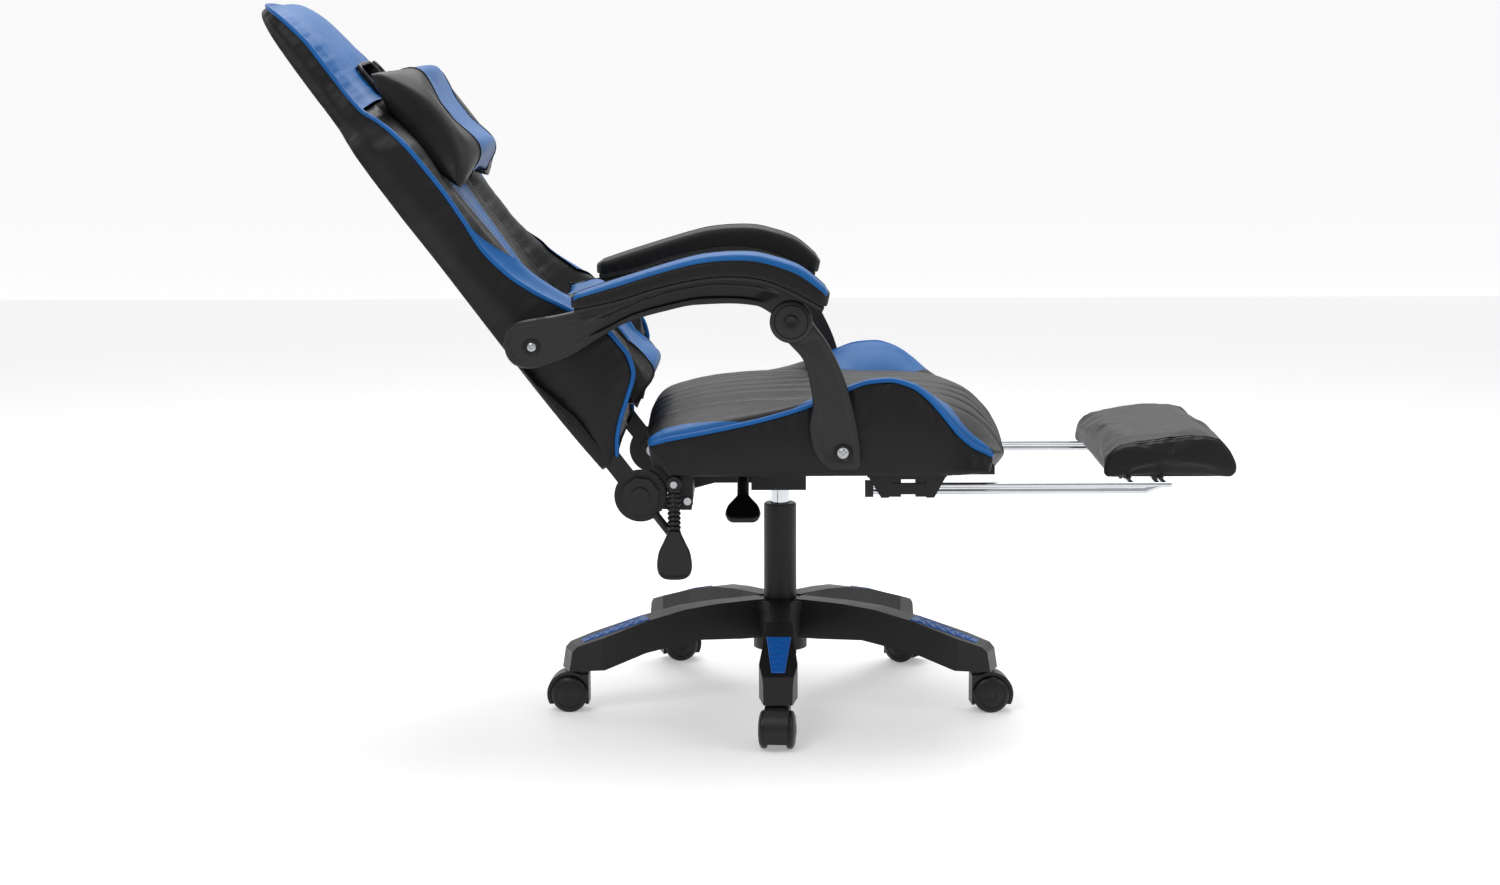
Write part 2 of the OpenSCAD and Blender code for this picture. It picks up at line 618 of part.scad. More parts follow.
module post(side) color("#222324") on(side) difference() {
    slab(arm_y, arm_y + post_t) polygon(concat(
        [[72, 396]], curve([[56, 408], [44, 430], [40, 458], [45, 490], [41, 520], [32, 552], [8, 580]]),
        arc(knuckle, 25, 235, 30, 12),
        curve([[62, 584], [81, 550], [96, 510], [108, 462], [114, 420], [114, 402]]), [[108, 396]]));
    pin(knuckle, 28, 0, 400);
    pin(post_foot, arm_bolt_d + 2 * run, 0, 400);
    pin(post_foot, arm_bolt_d + 6 + 2, arm_y + post_t - 2, 400);
}

base_star();
base_inlays();
column_tube();
column_bush();
for (i = [0:4]) {
    caster_hood(i);
    caster_wheels(i);
}
piston_rod();
thrust_bearing();
gas_cylinder();
valve_pin();
mechanism_plate();
rear_beam();
recliner_plate(-1);  // recliner_plate_right
recliner_plate(1);  // recliner_plate_left
pivot_bolts();
seat_board();
seat_cushion();
seat_bolts();
post_bolts();
lift_rod();
lift_grip();
release_shaft();
recline_grip();
rail_bracket(-1);  // rail_bracket_right
rail_bracket(1);  // rail_bracket_left
rail_guides();
rail(-1);  // rail_right
rail(1);  // rail_left
rail_crossbars();
rail_end_caps();
footrest_board();
footrest_cushion();
footrest_clips();
back_frame();
back_bracket(-1);  // back_bracket_right
back_bracket(1);  // back_bracket_left
recliner_covers();
back_cushion();
back_shell();
head_pillow();
lumbar_pillow();
armrest_bolts();
arm_frame(-1);  // arm_frame_right
arm_frame(1);  // arm_frame_left
arm_pad(-1);  // arm_pad_right
arm_pad(1);  // arm_pad_left
arm_cap(-1);  // arm_cap_right
arm_cap(1);  // arm_cap_left
post(-1);  // post_right
post(1);  // post_left
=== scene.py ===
"""Gaming chair: upholstery, plastics and metal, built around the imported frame.

Distances are in metres, in the frame's own axes: +X forward, +Z up, the sitter's right is -Y.
Shapes of the back are given in the back's own axes: y across, t up along it, n out of its front face.
"""
import json
import math

import bmesh
import bpy
import numpy as np
from mathutils.bvhtree import BVHTree
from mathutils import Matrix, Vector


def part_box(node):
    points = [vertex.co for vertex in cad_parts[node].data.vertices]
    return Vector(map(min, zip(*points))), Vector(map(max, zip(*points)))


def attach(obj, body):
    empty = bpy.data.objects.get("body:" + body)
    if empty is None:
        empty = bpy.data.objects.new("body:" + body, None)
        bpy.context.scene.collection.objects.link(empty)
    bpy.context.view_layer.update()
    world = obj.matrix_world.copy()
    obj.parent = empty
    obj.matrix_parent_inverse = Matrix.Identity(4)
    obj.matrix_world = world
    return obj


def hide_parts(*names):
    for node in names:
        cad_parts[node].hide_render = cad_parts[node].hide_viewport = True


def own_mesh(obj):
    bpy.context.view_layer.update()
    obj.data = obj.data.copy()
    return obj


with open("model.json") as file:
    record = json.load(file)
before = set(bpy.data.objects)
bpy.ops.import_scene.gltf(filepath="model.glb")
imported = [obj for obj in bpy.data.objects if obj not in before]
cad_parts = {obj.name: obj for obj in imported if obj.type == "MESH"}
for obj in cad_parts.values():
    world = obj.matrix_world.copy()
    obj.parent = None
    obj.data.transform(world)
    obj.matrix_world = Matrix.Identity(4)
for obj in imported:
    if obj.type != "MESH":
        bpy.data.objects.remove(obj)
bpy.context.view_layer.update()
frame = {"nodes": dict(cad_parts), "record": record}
render_levels = 1

# ---------------------------------------------------------------- places taken from the frame

joints = {j["name"]: j for j in frame["record"]["behaviour"]["joints"]}
RECLINER = np.array(joints["recline"]["pos_m"])
ARM_REAR = np.array(joints["armrest_left_swing"]["pos_m"])
POST_FOOT = np.array(joints["post_left_swing"]["pos_m"])
KNUCKLE = np.mean([np.array(c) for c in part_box("arm_cap_left")], axis=0)
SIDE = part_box("seat_cushion")[1][1]  # half-width of the seat
LEAN = math.radians(37.5)
MM = 0.001
PIPING_R = 0.0034  # the piping is 7 mm across
SEAT_FLOOR = 0.384  # underside of the seat cover


def back_point(y, t, n):
    """Frame coordinates of points given across, along and out of the back."""
    y, t, n = np.broadcast_arrays(y, t, n)
    x = RECLINER[0] + n * math.cos(LEAN) - t * math.sin(LEAN)
    z = RECLINER[2] + n * math.sin(LEAN) + t * math.cos(LEAN)
    return np.stack([x, y, z], axis=-1)


# ---------------------------------------------------------------- materials

def linear(code):
    """sRGB hex colour as linear RGBA."""
    c = [int(code[i:i + 2], 16) / 255 for i in (0, 2, 4)]
    return tuple(v / 12.92 if v <= 0.04045 else ((v + 0.055) / 1.055) ** 2.4 for v in c) + (1.0,)


def add(tree, kind, inputs=None, **settings):
    """Adds a node with its settings; an input is a value or the socket that feeds it."""
    node = tree.nodes.new(kind)
    for name, value in settings.items():
        setattr(node, name, value)
    for name, value in (inputs or {}).items():
        if isinstance(value, bpy.types.NodeSocket):
            tree.links.new(value, node.inputs[name])
        else:
            node.inputs[name].default_value = value
    return node


def material(name, **shader):
    """An empty material with one Principled shader, its tree, the shader and Object coordinates."""
    mat = bpy.data.materials.new(name)
    mat.use_nodes = True
    tree = mat.node_tree
    tree.nodes.clear()
    out = add(tree, "ShaderNodeOutputMaterial")
    bsdf = add(tree, "ShaderNodeBsdfPrincipled", shader)
    tree.links.new(bsdf.outputs[0], out.inputs[0])
    where = add(tree, "ShaderNodeTexCoord").outputs["Object"]
    return mat, tree, bsdf, where


def two_tone(tree, where, scale, dark, light, detail=3.0):
    """Colour that wanders between two close tones."""
    noise = add(tree, "ShaderNodeTexNoise", {"Vector": where, "Scale": scale, "Detail": detail})
    mix = add(tree, "ShaderNodeMix", {"Factor": noise.outputs["Fac"], "A": linear(dark), "B": linear(light)},
              data_type="RGBA")
    return mix.outputs["Result"]


def bumped(tree, bsdf, height, strength, distance, under=None):
    """Feeds a height into the shader's normal."""
    inputs = {"Height": height, "Strength": strength, "Distance": distance}
    if under is not None:
        inputs["Normal"] = under
    bump = add(tree, "ShaderNodeBump", inputs)
    tree.links.new(bump.outputs[0], bsdf.inputs["Normal"])
    return bump.outputs[0]


def leather(name, dark, light, rough, coat):
    """Embossed polyurethane leather: pebbled grain about 1.2 mm across, and soft creases."""
    mat, tree, bsdf, where = material(name, **{"IOR": 1.45, "Specular IOR Level": 0.26, "Coat Weight": coat,
                                               "Coat Roughness": 0.4})
    tree.links.new(two_tone(tree, where, 9.0, dark, light), bsdf.inputs["Base Color"])
    crease = add(tree, "ShaderNodeTexNoise", {"Vector": where, "Scale": 26.0, "Detail": 4.0,
                                              "Distortion": 0.6})
    soft = bumped(tree, bsdf, crease.outputs["Fac"], 0.16, 0.004)
    cells = add(tree, "ShaderNodeTexVoronoi", {"Vector": where, "Scale": 820.0}, feature="F1")
    bumped(tree, bsdf, cells.outputs["Distance"], 0.32, 0.0004, soft)
    fine = add(tree, "ShaderNodeTexNoise", {"Vector": where, "Scale": 60.0, "Detail": 5.0})
    spread = add(tree, "ShaderNodeMapRange", {"Value": fine.outputs["Fac"], "To Min": rough - 0.05,
                                              "To Max": rough + 0.08})
    tree.links.new(spread.outputs[0], bsdf.inputs["Roughness"])
    return mat


def moulded(name, dark, light, rough, grit=900.0, depth=0.25):
    """Injection-moulded plastic with a spark-eroded texture about 1 mm across."""
    mat, tree, bsdf, where = material(name, **{"IOR": 1.46, "Specular IOR Level": 0.4})
    tree.links.new(two_tone(tree, where, 14.0, dark, light), bsdf.inputs["Base Color"])
    noise = add(tree, "ShaderNodeTexNoise", {"Vector": where, "Scale": grit, "Detail": 2.0})
    bumped(tree, bsdf, noise.outputs["Fac"], depth, 0.0003)
    patch = add(tree, "ShaderNodeTexNoise", {"Vector": where, "Scale": 30.0, "Detail": 3.0})
    spread = add(tree, "ShaderNodeMapRange", {"Value": patch.outputs["Fac"], "To Min": rough - 0.06,
                                              "To Max": rough + 0.06})
    tree.links.new(spread.outputs[0], bsdf.inputs["Roughness"])
    return mat


def metal(name, dark, light, rough, scale=40.0):
    """Metal with faint uneven polish."""
    mat, tree, bsdf, where = material(name, **{"Metallic": 1.0})
    tree.links.new(two_tone(tree, where, scale, dark, light), bsdf.inputs["Base Color"])
    patch = add(tree, "ShaderNodeTexNoise", {"Vector": where, "Scale": scale * 4, "Detail": 3.0})
    spread = add(tree, "ShaderNodeMapRange", {"Value": patch.outputs["Fac"],
                                              "To Min": max(rough - 0.04, 0.02),
                                              "To Max": rough + 0.06})
    tree.links.new(spread.outputs[0], bsdf.inputs["Roughness"])
    return mat


def plywood(name):
    """Black-stained plywood: long grain with bands about 6 mm wide still showing through."""
    mat, tree, bsdf, where = material(name, **{"Roughness": 0.75})
    stretched = add(tree, "ShaderNodeMapping", {"Vector": where, "Scale": (6.0, 160.0, 160.0)})
    tree.links.new(two_tone(tree, stretched.outputs[0], 1.0, "0b0b0b", "161514", 6.0),
                   bsdf.inputs["Base Color"])
    return mat


# Polyurethane leather, embossed and satin: near black with a soft wide sheen on the tops.
BLACK = leather("black_leather", "0f0f10", "18181a", 0.42, 0.04)
# The same leather in blue, which pales to sky blue where it faces the light.
BLUE = leather("blue_leather", "07508f", "0f60a1", 0.43, 0.03)
# Blue leather rolled tight over a cord: a slightly sharper highlight along the line.
PIPING = leather("blue_piping", "085092", "1060a6", 0.4, 0.03)
# Bonded polyester thread: matt and darker than the leather it sews.
THREAD = moulded("black_thread", "0a0a0b", "101011", 0.6)
# Polypropylene with a spark-eroded grain: charcoal rather than black, with a broad dull shine.
ARM_PLASTIC = moulded("satin_arm_plastic", "1e1e1f", "272728", 0.40, 700.0, 0.3)
# Woven elastic webbing: matt, with a weave of about 0.6 mm that only softens its edge of light.
STRAP = moulded("elastic_webbing", "0c0c0d", "171718", 0.7, 1600.0, 0.5)
# Glass-filled nylon: faintly cloudy black with a coarse grain.
NYLON = moulded("glass_filled_nylon", "111112", "19191a", 0.4, 800.0, 0.3)
# Polypropylene in strong blue, moulded against polished steel: clean highlights on the chevrons.
INLAY = moulded("blue_inlay_plastic", "0d55a8", "1463bb", 0.33, 900.0, 0.1)
# Smooth black ABS: deep black, with a small clear highlight.
SMOOTH_BLACK = moulded("smooth_black_plastic", "0b0b0c", "111112", 0.32, 1200.0, 0.1)
# Polished nylon of the wheels: black, a little shinier than the base.
WHEEL = moulded("wheel_nylon", "0f0f10", "161617", 0.35, 1000.0, 0.15)
# Bright chromium plate: a near mirror, slightly cool.
CHROME = metal("polished_chrome", "c9ccd0", "dcdfe2", 0.09)
# Zinc plate on bolts: grey and softly bright.
ZINC = metal("zinc_plated_steel", "a8aaad", "c2c4c7", 0.28)
# Baked powder coat: black with a fine orange-peel.
COAT = moulded("black_powder_coat", "0e0e0f", "161617", 0.45, 1400.0, 0.35)
# Plywood stained black: dull, with its long grain just visible.
WOOD = plywood("black_stained_plywood")

# ---------------------------------------------------------------- shapes

def through(keys, s):
    """Smooth curve through rows of (station, values...): a cubic whose slopes never overshoot the keys."""
    k = np.asarray(keys, float)
    x, v = k[:, 0], k[:, 1:]
    h = np.diff(x)[:, None]
    d = np.diff(v, axis=0) / h
    w1, w2 = 2 * h[1:] + h[:-1], h[1:] + 2 * h[:-1]
    same = d[:-1] * d[1:] > 0
    safe = np.where(same, d[:-1] * d[1:], 1.0)
    inner = np.where(same, (w1 + w2) * safe / np.where(same, w1 * d[1:] + w2 * d[:-1], 1.0), 0.0)
    m = np.vstack([d[:1], inner, d[-1:]])
    s = np.asarray(s, float)
    i = np.clip(np.searchsorted(x, s, side="right") - 1, 0, len(x) - 2)
    u = ((s - x[i]) / h[i, 0])[..., None]
    hi = h[i, 0][..., None]
    return ((2 * u**3 - 3 * u**2 + 1) * v[i] + (u**3 - 2 * u**2 + u) * hi * m[i]
            + (3 * u**2 - 2 * u**3) * v[i + 1] + (u**3 - u**2) * hi * m[i + 1])


def rounded_curve(points, n):
    """n points along a smooth curve through a few points, evenly spaced in length."""
    p = np.asarray(points, float)
    pad = np.vstack([2 * p[0] - p[1], p, 2 * p[-1] - p[-2]])
    u = np.linspace(0, 1, 24, endpoint=False)[:, None]
    parts = []
    for a, b, c, d in zip(pad[:-3], pad[1:-2], pad[2:-1], pad[3:]):
        parts.append(0.5 * (2 * b + (c - a) * u + (2 * a - 5 * b + 4 * c - d) * u**2
                            + (3 * b - a - 3 * c + d) * u**3))
    dense = np.vstack(parts + [p[-1:]])
    return even(dense, n)


def even(path, n):
    """The same path with n points evenly spaced in length."""
    step = np.linalg.norm(np.diff(path, axis=0), axis=1)
    length = np.concatenate([[0], np.cumsum(step)])
    at = np.linspace(0, length[-1], n)
    return np.stack([np.interp(at, length, path[:, k]) for k in range(path.shape[1])], axis=1)


def skin(rails, across, n):
    """Surface through rails (each N by 3) that lie at the given places across, sampled n times."""
    v = np.linspace(across[0], across[-1], n)
    stack = np.stack(rails)
    flat = stack.reshape(len(rails), -1)
    keys = np.hstack([np.asarray(across)[:, None], flat])
    grid = through(keys, v).reshape(n, *stack.shape[1:])
    return np.transpose(grid, (1, 0, 2))


def normals(grid):
    """Unit normals of a grid surface."""
    du = np.gradient(grid, axis=0)
    dv = np.gradient(grid, axis=1)
    n = np.cross(du, dv)
    return n / np.maximum(np.linalg.norm(n, axis=2, keepdims=True), 1e-9)


def waver(x, seed):
    """Smooth repeatable unevenness between about -1 and 1: three sines of unrelated lengths."""
    return (np.sin(x + seed) + 0.6 * np.sin(x * 2.37 + 2.1 * seed)
            + 0.4 * np.sin(x * 4.91 + 3.7 * seed)) / 1.6


def seam_gap(grid, edges="lr"):
    """Distance of every grid point from the seams along its first (l) and last (r) column and its
    first (b) and last (t) row."""
    d = np.full(grid.shape[:2], 10.0)
    if "l" in edges:
        d = np.minimum(d, np.linalg.norm(grid - grid[:, :1], axis=2))
    if "r" in edges:
        d = np.minimum(d, np.linalg.norm(grid - grid[:, -1:], axis=2))
    if "b" in edges:
        d = np.minimum(d, np.linalg.norm(grid - grid[:1], axis=2))
    if "t" in edges:
        d = np.minimum(d, np.linalg.norm(grid - grid[-1:], axis=2))
    return d


def puffed(grid, sign, height=0.004, reach=0.012, wrinkle=0.0008, length=0.03, edges="lr", seed=1.0):
    """A sewn panel: it stands proud between its seams, and puckers a little beside them."""
    gap = seam_gap(grid, edges)
    run = np.cumsum(np.linalg.norm(np.diff(grid[:, grid.shape[1] // 2], axis=0), axis=1))
    run = np.concatenate([[0], run])[:, None]
    pucker = (wrinkle * np.exp(-gap / 0.022) * (1 - np.exp(-gap / 0.004)) * 2.2
              * waver(run * 2 * np.pi / length, seed))
    lift = height * (1 - np.exp(-gap / reach)) + pucker
    return grid + sign * normals(grid) * lift[..., None]


def mesh_object(name, verts, faces, mats, index=None, merge=0.0):
    """A mesh object at the origin from arrays, with a material for each face."""
    mesh = bpy.data.meshes.new(name)
    mesh.from_pydata(np.asarray(verts, float).tolist(), [], [list(f) for f in faces])
    for m in mats:
        mesh.materials.append(m)
    if index is not None:
        mesh.polygons.foreach_set("material_index", np.asarray(index, dtype=np.int32))
    if merge:
        bm = bmesh.new()
        bm.from_mesh(mesh)
        bmesh.ops.remove_doubles(bm, verts=bm.verts, dist=merge)
        bmesh.ops.dissolve_degenerate(bm, edges=bm.edges, dist=merge / 4)
        bmesh.ops.recalc_face_normals(bm, faces=bm.faces)
        bm.to_mesh(mesh)
        bm.free()
    mesh.polygons.foreach_set("use_smooth", np.full(len(mesh.polygons), True))
    mesh.update()
    obj = bpy.data.objects.new(name, mesh)
    bpy.context.scene.collection.objects.link(obj)
    return obj


class Shell:
    """Collects grid surfaces into one mesh, each with its own material."""

    def __init__(self):
        self.verts, self.faces, self.index, self.mats = [], [], [], []
        self.count = 0

    def grid(self, points, mat, wrap=False):
        """Quads between neighbouring rows and columns; wrap closes the columns into a tube."""
        rows, cols = points.shape[:2]
        ids = np.arange(rows * cols).reshape(rows, cols) + self.count
        if wrap:
            ids = np.hstack([ids, ids[:, :1]])
        quads = np.stack([ids[:-1, :-1], ids[1:, :-1], ids[1:, 1:], ids[:-1, 1:]], axis=-1).reshape(-1, 4)
        self.add(points.reshape(-1, 3), quads, mat)
        return self

    def add(self, verts, faces, mat):
        """Vertices and the faces on them, whose indices count from the shell's first vertex."""
        if mat not in self.mats:
            self.mats.append(mat)
        self.verts.append(verts)
        self.faces.extend(faces.tolist() if hasattr(faces, "tolist") else faces)
        self.index.extend([self.mats.index(mat)] * len(faces))
        self.count += len(verts)

    def mirrored(self, points, mat):
        """The grid and its mirror image across the middle."""
        self.grid(points, mat)
        self.grid((points * [1, -1, 1])[:, ::-1], mat)

    def pierced(self, points, mat, keep):
        """The grid and its mirror image, with only the cells that keep marks."""
        for sign in (1, -1):
            ids = np.arange(points.shape[0] * points.shape[1]).reshape(points.shape[:2]) + self.count
            quads = np.stack([ids[:-1, :-1], ids[1:, :-1], ids[1:, 1:], ids[:-1, 1:]], -1)[keep]
            self.add((points * [1, sign, 1]).reshape(-1, 3), quads if sign > 0 else quads[:, ::-1], mat)

    def build(self, name, merge=0.00005):
        """The collected surfaces as one object, with points closer than merge joined."""
        return mesh_object(name, np.vstack(self.verts), self.faces, self.mats, self.index, merge)


def tube_grid(path, radius, sides=10):
    """Round tube carried along a path without twisting; radius may vary along it."""
    path = np.asarray(path, float)
    tan = np.gradient(path, axis=0)
    tan /= np.maximum(np.linalg.norm(tan, axis=1, keepdims=True), 1e-12)
    side = np.zeros_like(path)
    ref = np.array([0.0, 0.0, 1.0]) if abs(tan[0, 2]) < 0.9 else np.array([1.0, 0.0, 0.0])
    side[0] = np.cross(tan[0], ref)
    side[0] /= np.linalg.norm(side[0])
    for i in range(1, len(path)):
        s = side[i - 1] - tan[i] * np.dot(side[i - 1], tan[i])
        side[i] = s / np.linalg.norm(s)
    up = np.cross(tan, side)
    a = np.linspace(0, 2 * np.pi, sides, endpoint=False)
    r = np.broadcast_to(np.asarray(radius, float), (len(path),))[:, None, None]
    return path[:, None] + r * (np.cos(a)[None, :, None] * side[:, None]
                                + np.sin(a)[None, :, None] * up[:, None])


def add_tube(shell, path, radius, mat, sides=10, closed=False):
    """A tube with flat ends, or a ring where closed."""
    g = tube_grid(path, radius, sides)
    if closed:
        g = np.concatenate([g, g[:1]])
        shell.grid(g, mat, wrap=True)
        return
    base = shell.count
    shell.grid(g, mat, wrap=True)
    last = base + (len(path) - 1) * sides
    shell.add(np.zeros((0, 3)), [list(range(base, base + sides))[::-1], list(range(last, last + sides))], mat)


def lathe(shell, profile, centre, axis, mat, sides=40):
    """Surface of revolution of (radius, height) rows about an axis through centre."""
    axis = np.asarray(axis, float) / np.linalg.norm(axis)
    ref = np.array([0.0, 0.0, 1.0]) if abs(axis[2]) < 0.9 else np.array([1.0, 0.0, 0.0])
    e1 = np.cross(axis, ref)
    e1 /= np.linalg.norm(e1)
    e2 = np.cross(axis, e1)
    p = np.asarray(profile, float)
    a = np.linspace(0, 2 * np.pi, sides, endpoint=False)
    ring = np.cos(a)[None, :, None] * e1 + np.sin(a)[None, :, None] * e2
    g = np.asarray(centre) + p[:, 0, None, None] * ring + p[:, 1, None, None] * axis
    shell.grid(g, mat, wrap=True)


def stitches(shell, path, outward, mat, pitch=0.0055, length=0.0036, radius=0.00042):
    """A row of thread stitches lying on a seam; each is a six-sided spindle."""
    span = np.linalg.norm(np.diff(path, axis=0), axis=1).sum()
    n = max(int(span / pitch), 2)
    fine = even(np.hstack([path, outward]), n * 2)
    at, up = fine[::2, :3], fine[::2, 3:]
    tan = np.gradient(at, axis=0)
    tan /= np.maximum(np.linalg.norm(tan, axis=1, keepdims=True), 1e-9)
    up = up / np.maximum(np.linalg.norm(up, axis=1, keepdims=True), 1e-9)
    side = np.cross(tan, up)
    along = np.array([-0.5, -0.25, 0.25, 0.5]) * length
    fat = np.array([0.15, 1.0, 1.0, 0.15]) * radius
    a = np.linspace(0, 2 * np.pi, 6, endpoint=False)
    ring = fat[:, None, None, None] * (np.cos(a)[None, :, None, None] * side[None, None]
                                       + np.sin(a)[None, :, None, None] * up[None, None])
    pts = at[None, None] + along[:, None, None, None] * tan[None, None] + ring
    pts = np.transpose(pts, (2, 0, 1, 3)).reshape(-1, 3)
    k = np.arange(6)
    after = (k + 1) % 6
    cell = np.concatenate([np.stack([i * 6 + k, (i + 1) * 6 + k, (i + 1) * 6 + after, i * 6 + after], 1)
                           for i in range(3)])
    faces = (cell[None] + 24 * np.arange(len(at))[:, None, None]).reshape(-1, 4) + shell.count
    shell.add(pts, faces, mat)


def smooth_by_angle(obj, angle=35):
    """Shades smoothly, but keeps edges sharper than the angle."""
    obj.data.set_sharp_from_angle(angle=math.radians(angle))
    return obj


# ---------------------------------------------------------------- back

# Half of the back in its own axes. Each row: station (metres along), across, along, out.
CENTRE = [(0.062, 0, 0.062, 0.000), (0.10, 0, 0.10, 0.006), (0.14, 0, 0.14, 0.030), (0.20, 0, 0.20, 0.043),
          (0.35, 0, 0.35, 0.043), (0.48, 0, 0.48, 0.044), (0.60, 0, 0.60, 0.052), (0.70, 0, 0.70, 0.058),
          (0.752, 0, 0.752, 0.053), (0.80, 0, 0.792, 0.047), (0.85, 0, 0.838, 0.041), (0.90, 0, 0.874, 0.028),
          (0.93, 0, 0.891, 0.010), (0.95, 0, 0.900, -0.010)]
EDGE = [(0.062, 0.236, 0.062, 0.004), (0.088, 0.246, 0.088, 0.025), (0.108, 0.251, 0.108, 0.048),
        (0.124, 0.254, 0.124, 0.071), (0.151, 0.257, 0.151, 0.104), (0.18, 0.258, 0.18, 0.113),
        (0.21, 0.257, 0.21, 0.112), (0.27, 0.252, 0.27, 0.088), (0.332, 0.249, 0.332, 0.059),
        (0.372, 0.248, 0.372, 0.046), (0.42, 0.248, 0.42, 0.040), (0.47, 0.252, 0.47, 0.045),
        (0.53, 0.260, 0.53, 0.049), (0.59, 0.262, 0.59, 0.048), (0.63, 0.252, 0.63, 0.042),
        (0.655, 0.228, 0.655, 0.033), (0.685, 0.190, 0.685, 0.019), (0.73, 0.166, 0.73, 0.014),
        (0.80, 0.158, 0.80, 0.014), (0.85, 0.148, 0.846, 0.008), (0.90, 0.112, 0.885, -0.004),
        (0.93, 0.062, 0.897, -0.010), (0.95, 0, 0.900, -0.012)]
GROOVE = [(0.062, 0.150, 0.062, 0.002), (0.10, 0.158, 0.10, 0.008), (0.14, 0.166, 0.14, 0.030),
          (0.20, 0.170, 0.20, 0.043), (0.35, 0.166, 0.35, 0.040), (0.48, 0.160, 0.48, 0.040),
          (0.58, 0.140, 0.58, 0.046), (0.66, 0.104, 0.66, 0.050), (0.684, 0.094, 0.684, 0.046),
          (0.744, 0.094, 0.744, 0.044), (0.80, 0.094, 0.795, 0.040), (0.85, 0.090, 0.842, 0.034),
          (0.90, 0.066, 0.880, 0.018), (0.93, 0.036, 0.894, 0.002), (0.95, 0, 0.900, -0.012)]
CREST = [(0.062, 0.206, 0.062, 0.004), (0.10, 0.216, 0.10, 0.038), (0.14, 0.222, 0.14, 0.092),
         (0.19, 0.226, 0.19, 0.124), (0.24, 0.224, 0.24, 0.116), (0.30, 0.220, 0.30, 0.094),
         (0.36, 0.216, 0.36, 0.074), (0.44, 0.214, 0.44, 0.062), (0.52, 0.218, 0.52, 0.062),
         (0.588, 0.218, 0.588, 0.066), (0.64, 0.196, 0.64, 0.058), (0.70, 0.146, 0.70, 0.038),
         (0.75, 0.134, 0.75, 0.032), (0.80, 0.130, 0.798, 0.031), (0.85, 0.122, 0.845, 0.024),
         (0.90, 0.090, 0.883, 0.010), (0.93, 0.050, 0.896, -0.003), (0.95, 0, 0.900, -0.012)]
SPINE = [(0.062, 0.0, 0), (0.28, 0.002, 0), (0.40, 0.034, 0), (0.58, 0.085, 0), (0.66, 0.040, 0),
         (0.684, 0.026, 0), (0.744, 0.026, 0), (0.95, 0.0, 0)]
REAR = [(0.062, -0.022), (0.30, -0.024), (0.50, -0.022), (0.62, -0.020), (0.74, -0.025), (0.80, -0.024),
        (0.90, -0.020), (0.95, -0.014)]
SLOT_LOW, SLOT_HIGH = 0.684, 0.744
COLOUR_LINE = 0.684  # the head above it is blue
BACK_STATIONS = np.unique(np.concatenate([np.linspace(0.062, COLOUR_LINE, 150),
                                          np.linspace(COLOUR_LINE, SLOT_HIGH, 18),
                                          np.linspace(SLOT_HIGH, 0.95, 60)]))


def back_rails(s):
    """The rails of half the front at the given stations, in the back's own axes."""
    c, g, k, e = (through(r, s) for r in (CENTRE, GROOVE, CREST, EDGE))
    v = through(SPINE, s)[:, :1]
    share = np.clip(v / np.maximum(g[:, :1], 1e-6), 0, 1)
    share = np.where(s[:, None] > 0.9, np.minimum(share, 0.4), share)
    m = c + (g - c) * share
    m[:, 2:] = c[:, 2:] + (g[:, 2:] - c[:, 2:]) * share**2
    return c, m, g, k, e


def rear_rails(s):
    """Side corner, slot lines and middle of the rear face."""
    e = through(EDGE, s)
    n = through(REAR, s)[:, 0]
    inset = np.where(s < 0.93, 0.010, 0.010 * (0.95 - s) / 0.02)
    corner = np.stack([np.maximum(e[:, 0] - inset, 0), np.minimum(e[:, 1], 0.896), n], 1)
    g = through(GROOVE, s)
    outer = np.stack([np.minimum(g[:, 0], corner[:, 0] * 0.75), corner[:, 1], n - 0.001], 1)
    inner = outer * [0.28, 1, 1]
    middle = outer * [0, 1, 1]
    return corner, outer, inner, middle


def placed(grid):
    """A grid in the back's own axes, put in the frame."""
    return back_point(grid[..., 0], grid[..., 1], grid[..., 2])


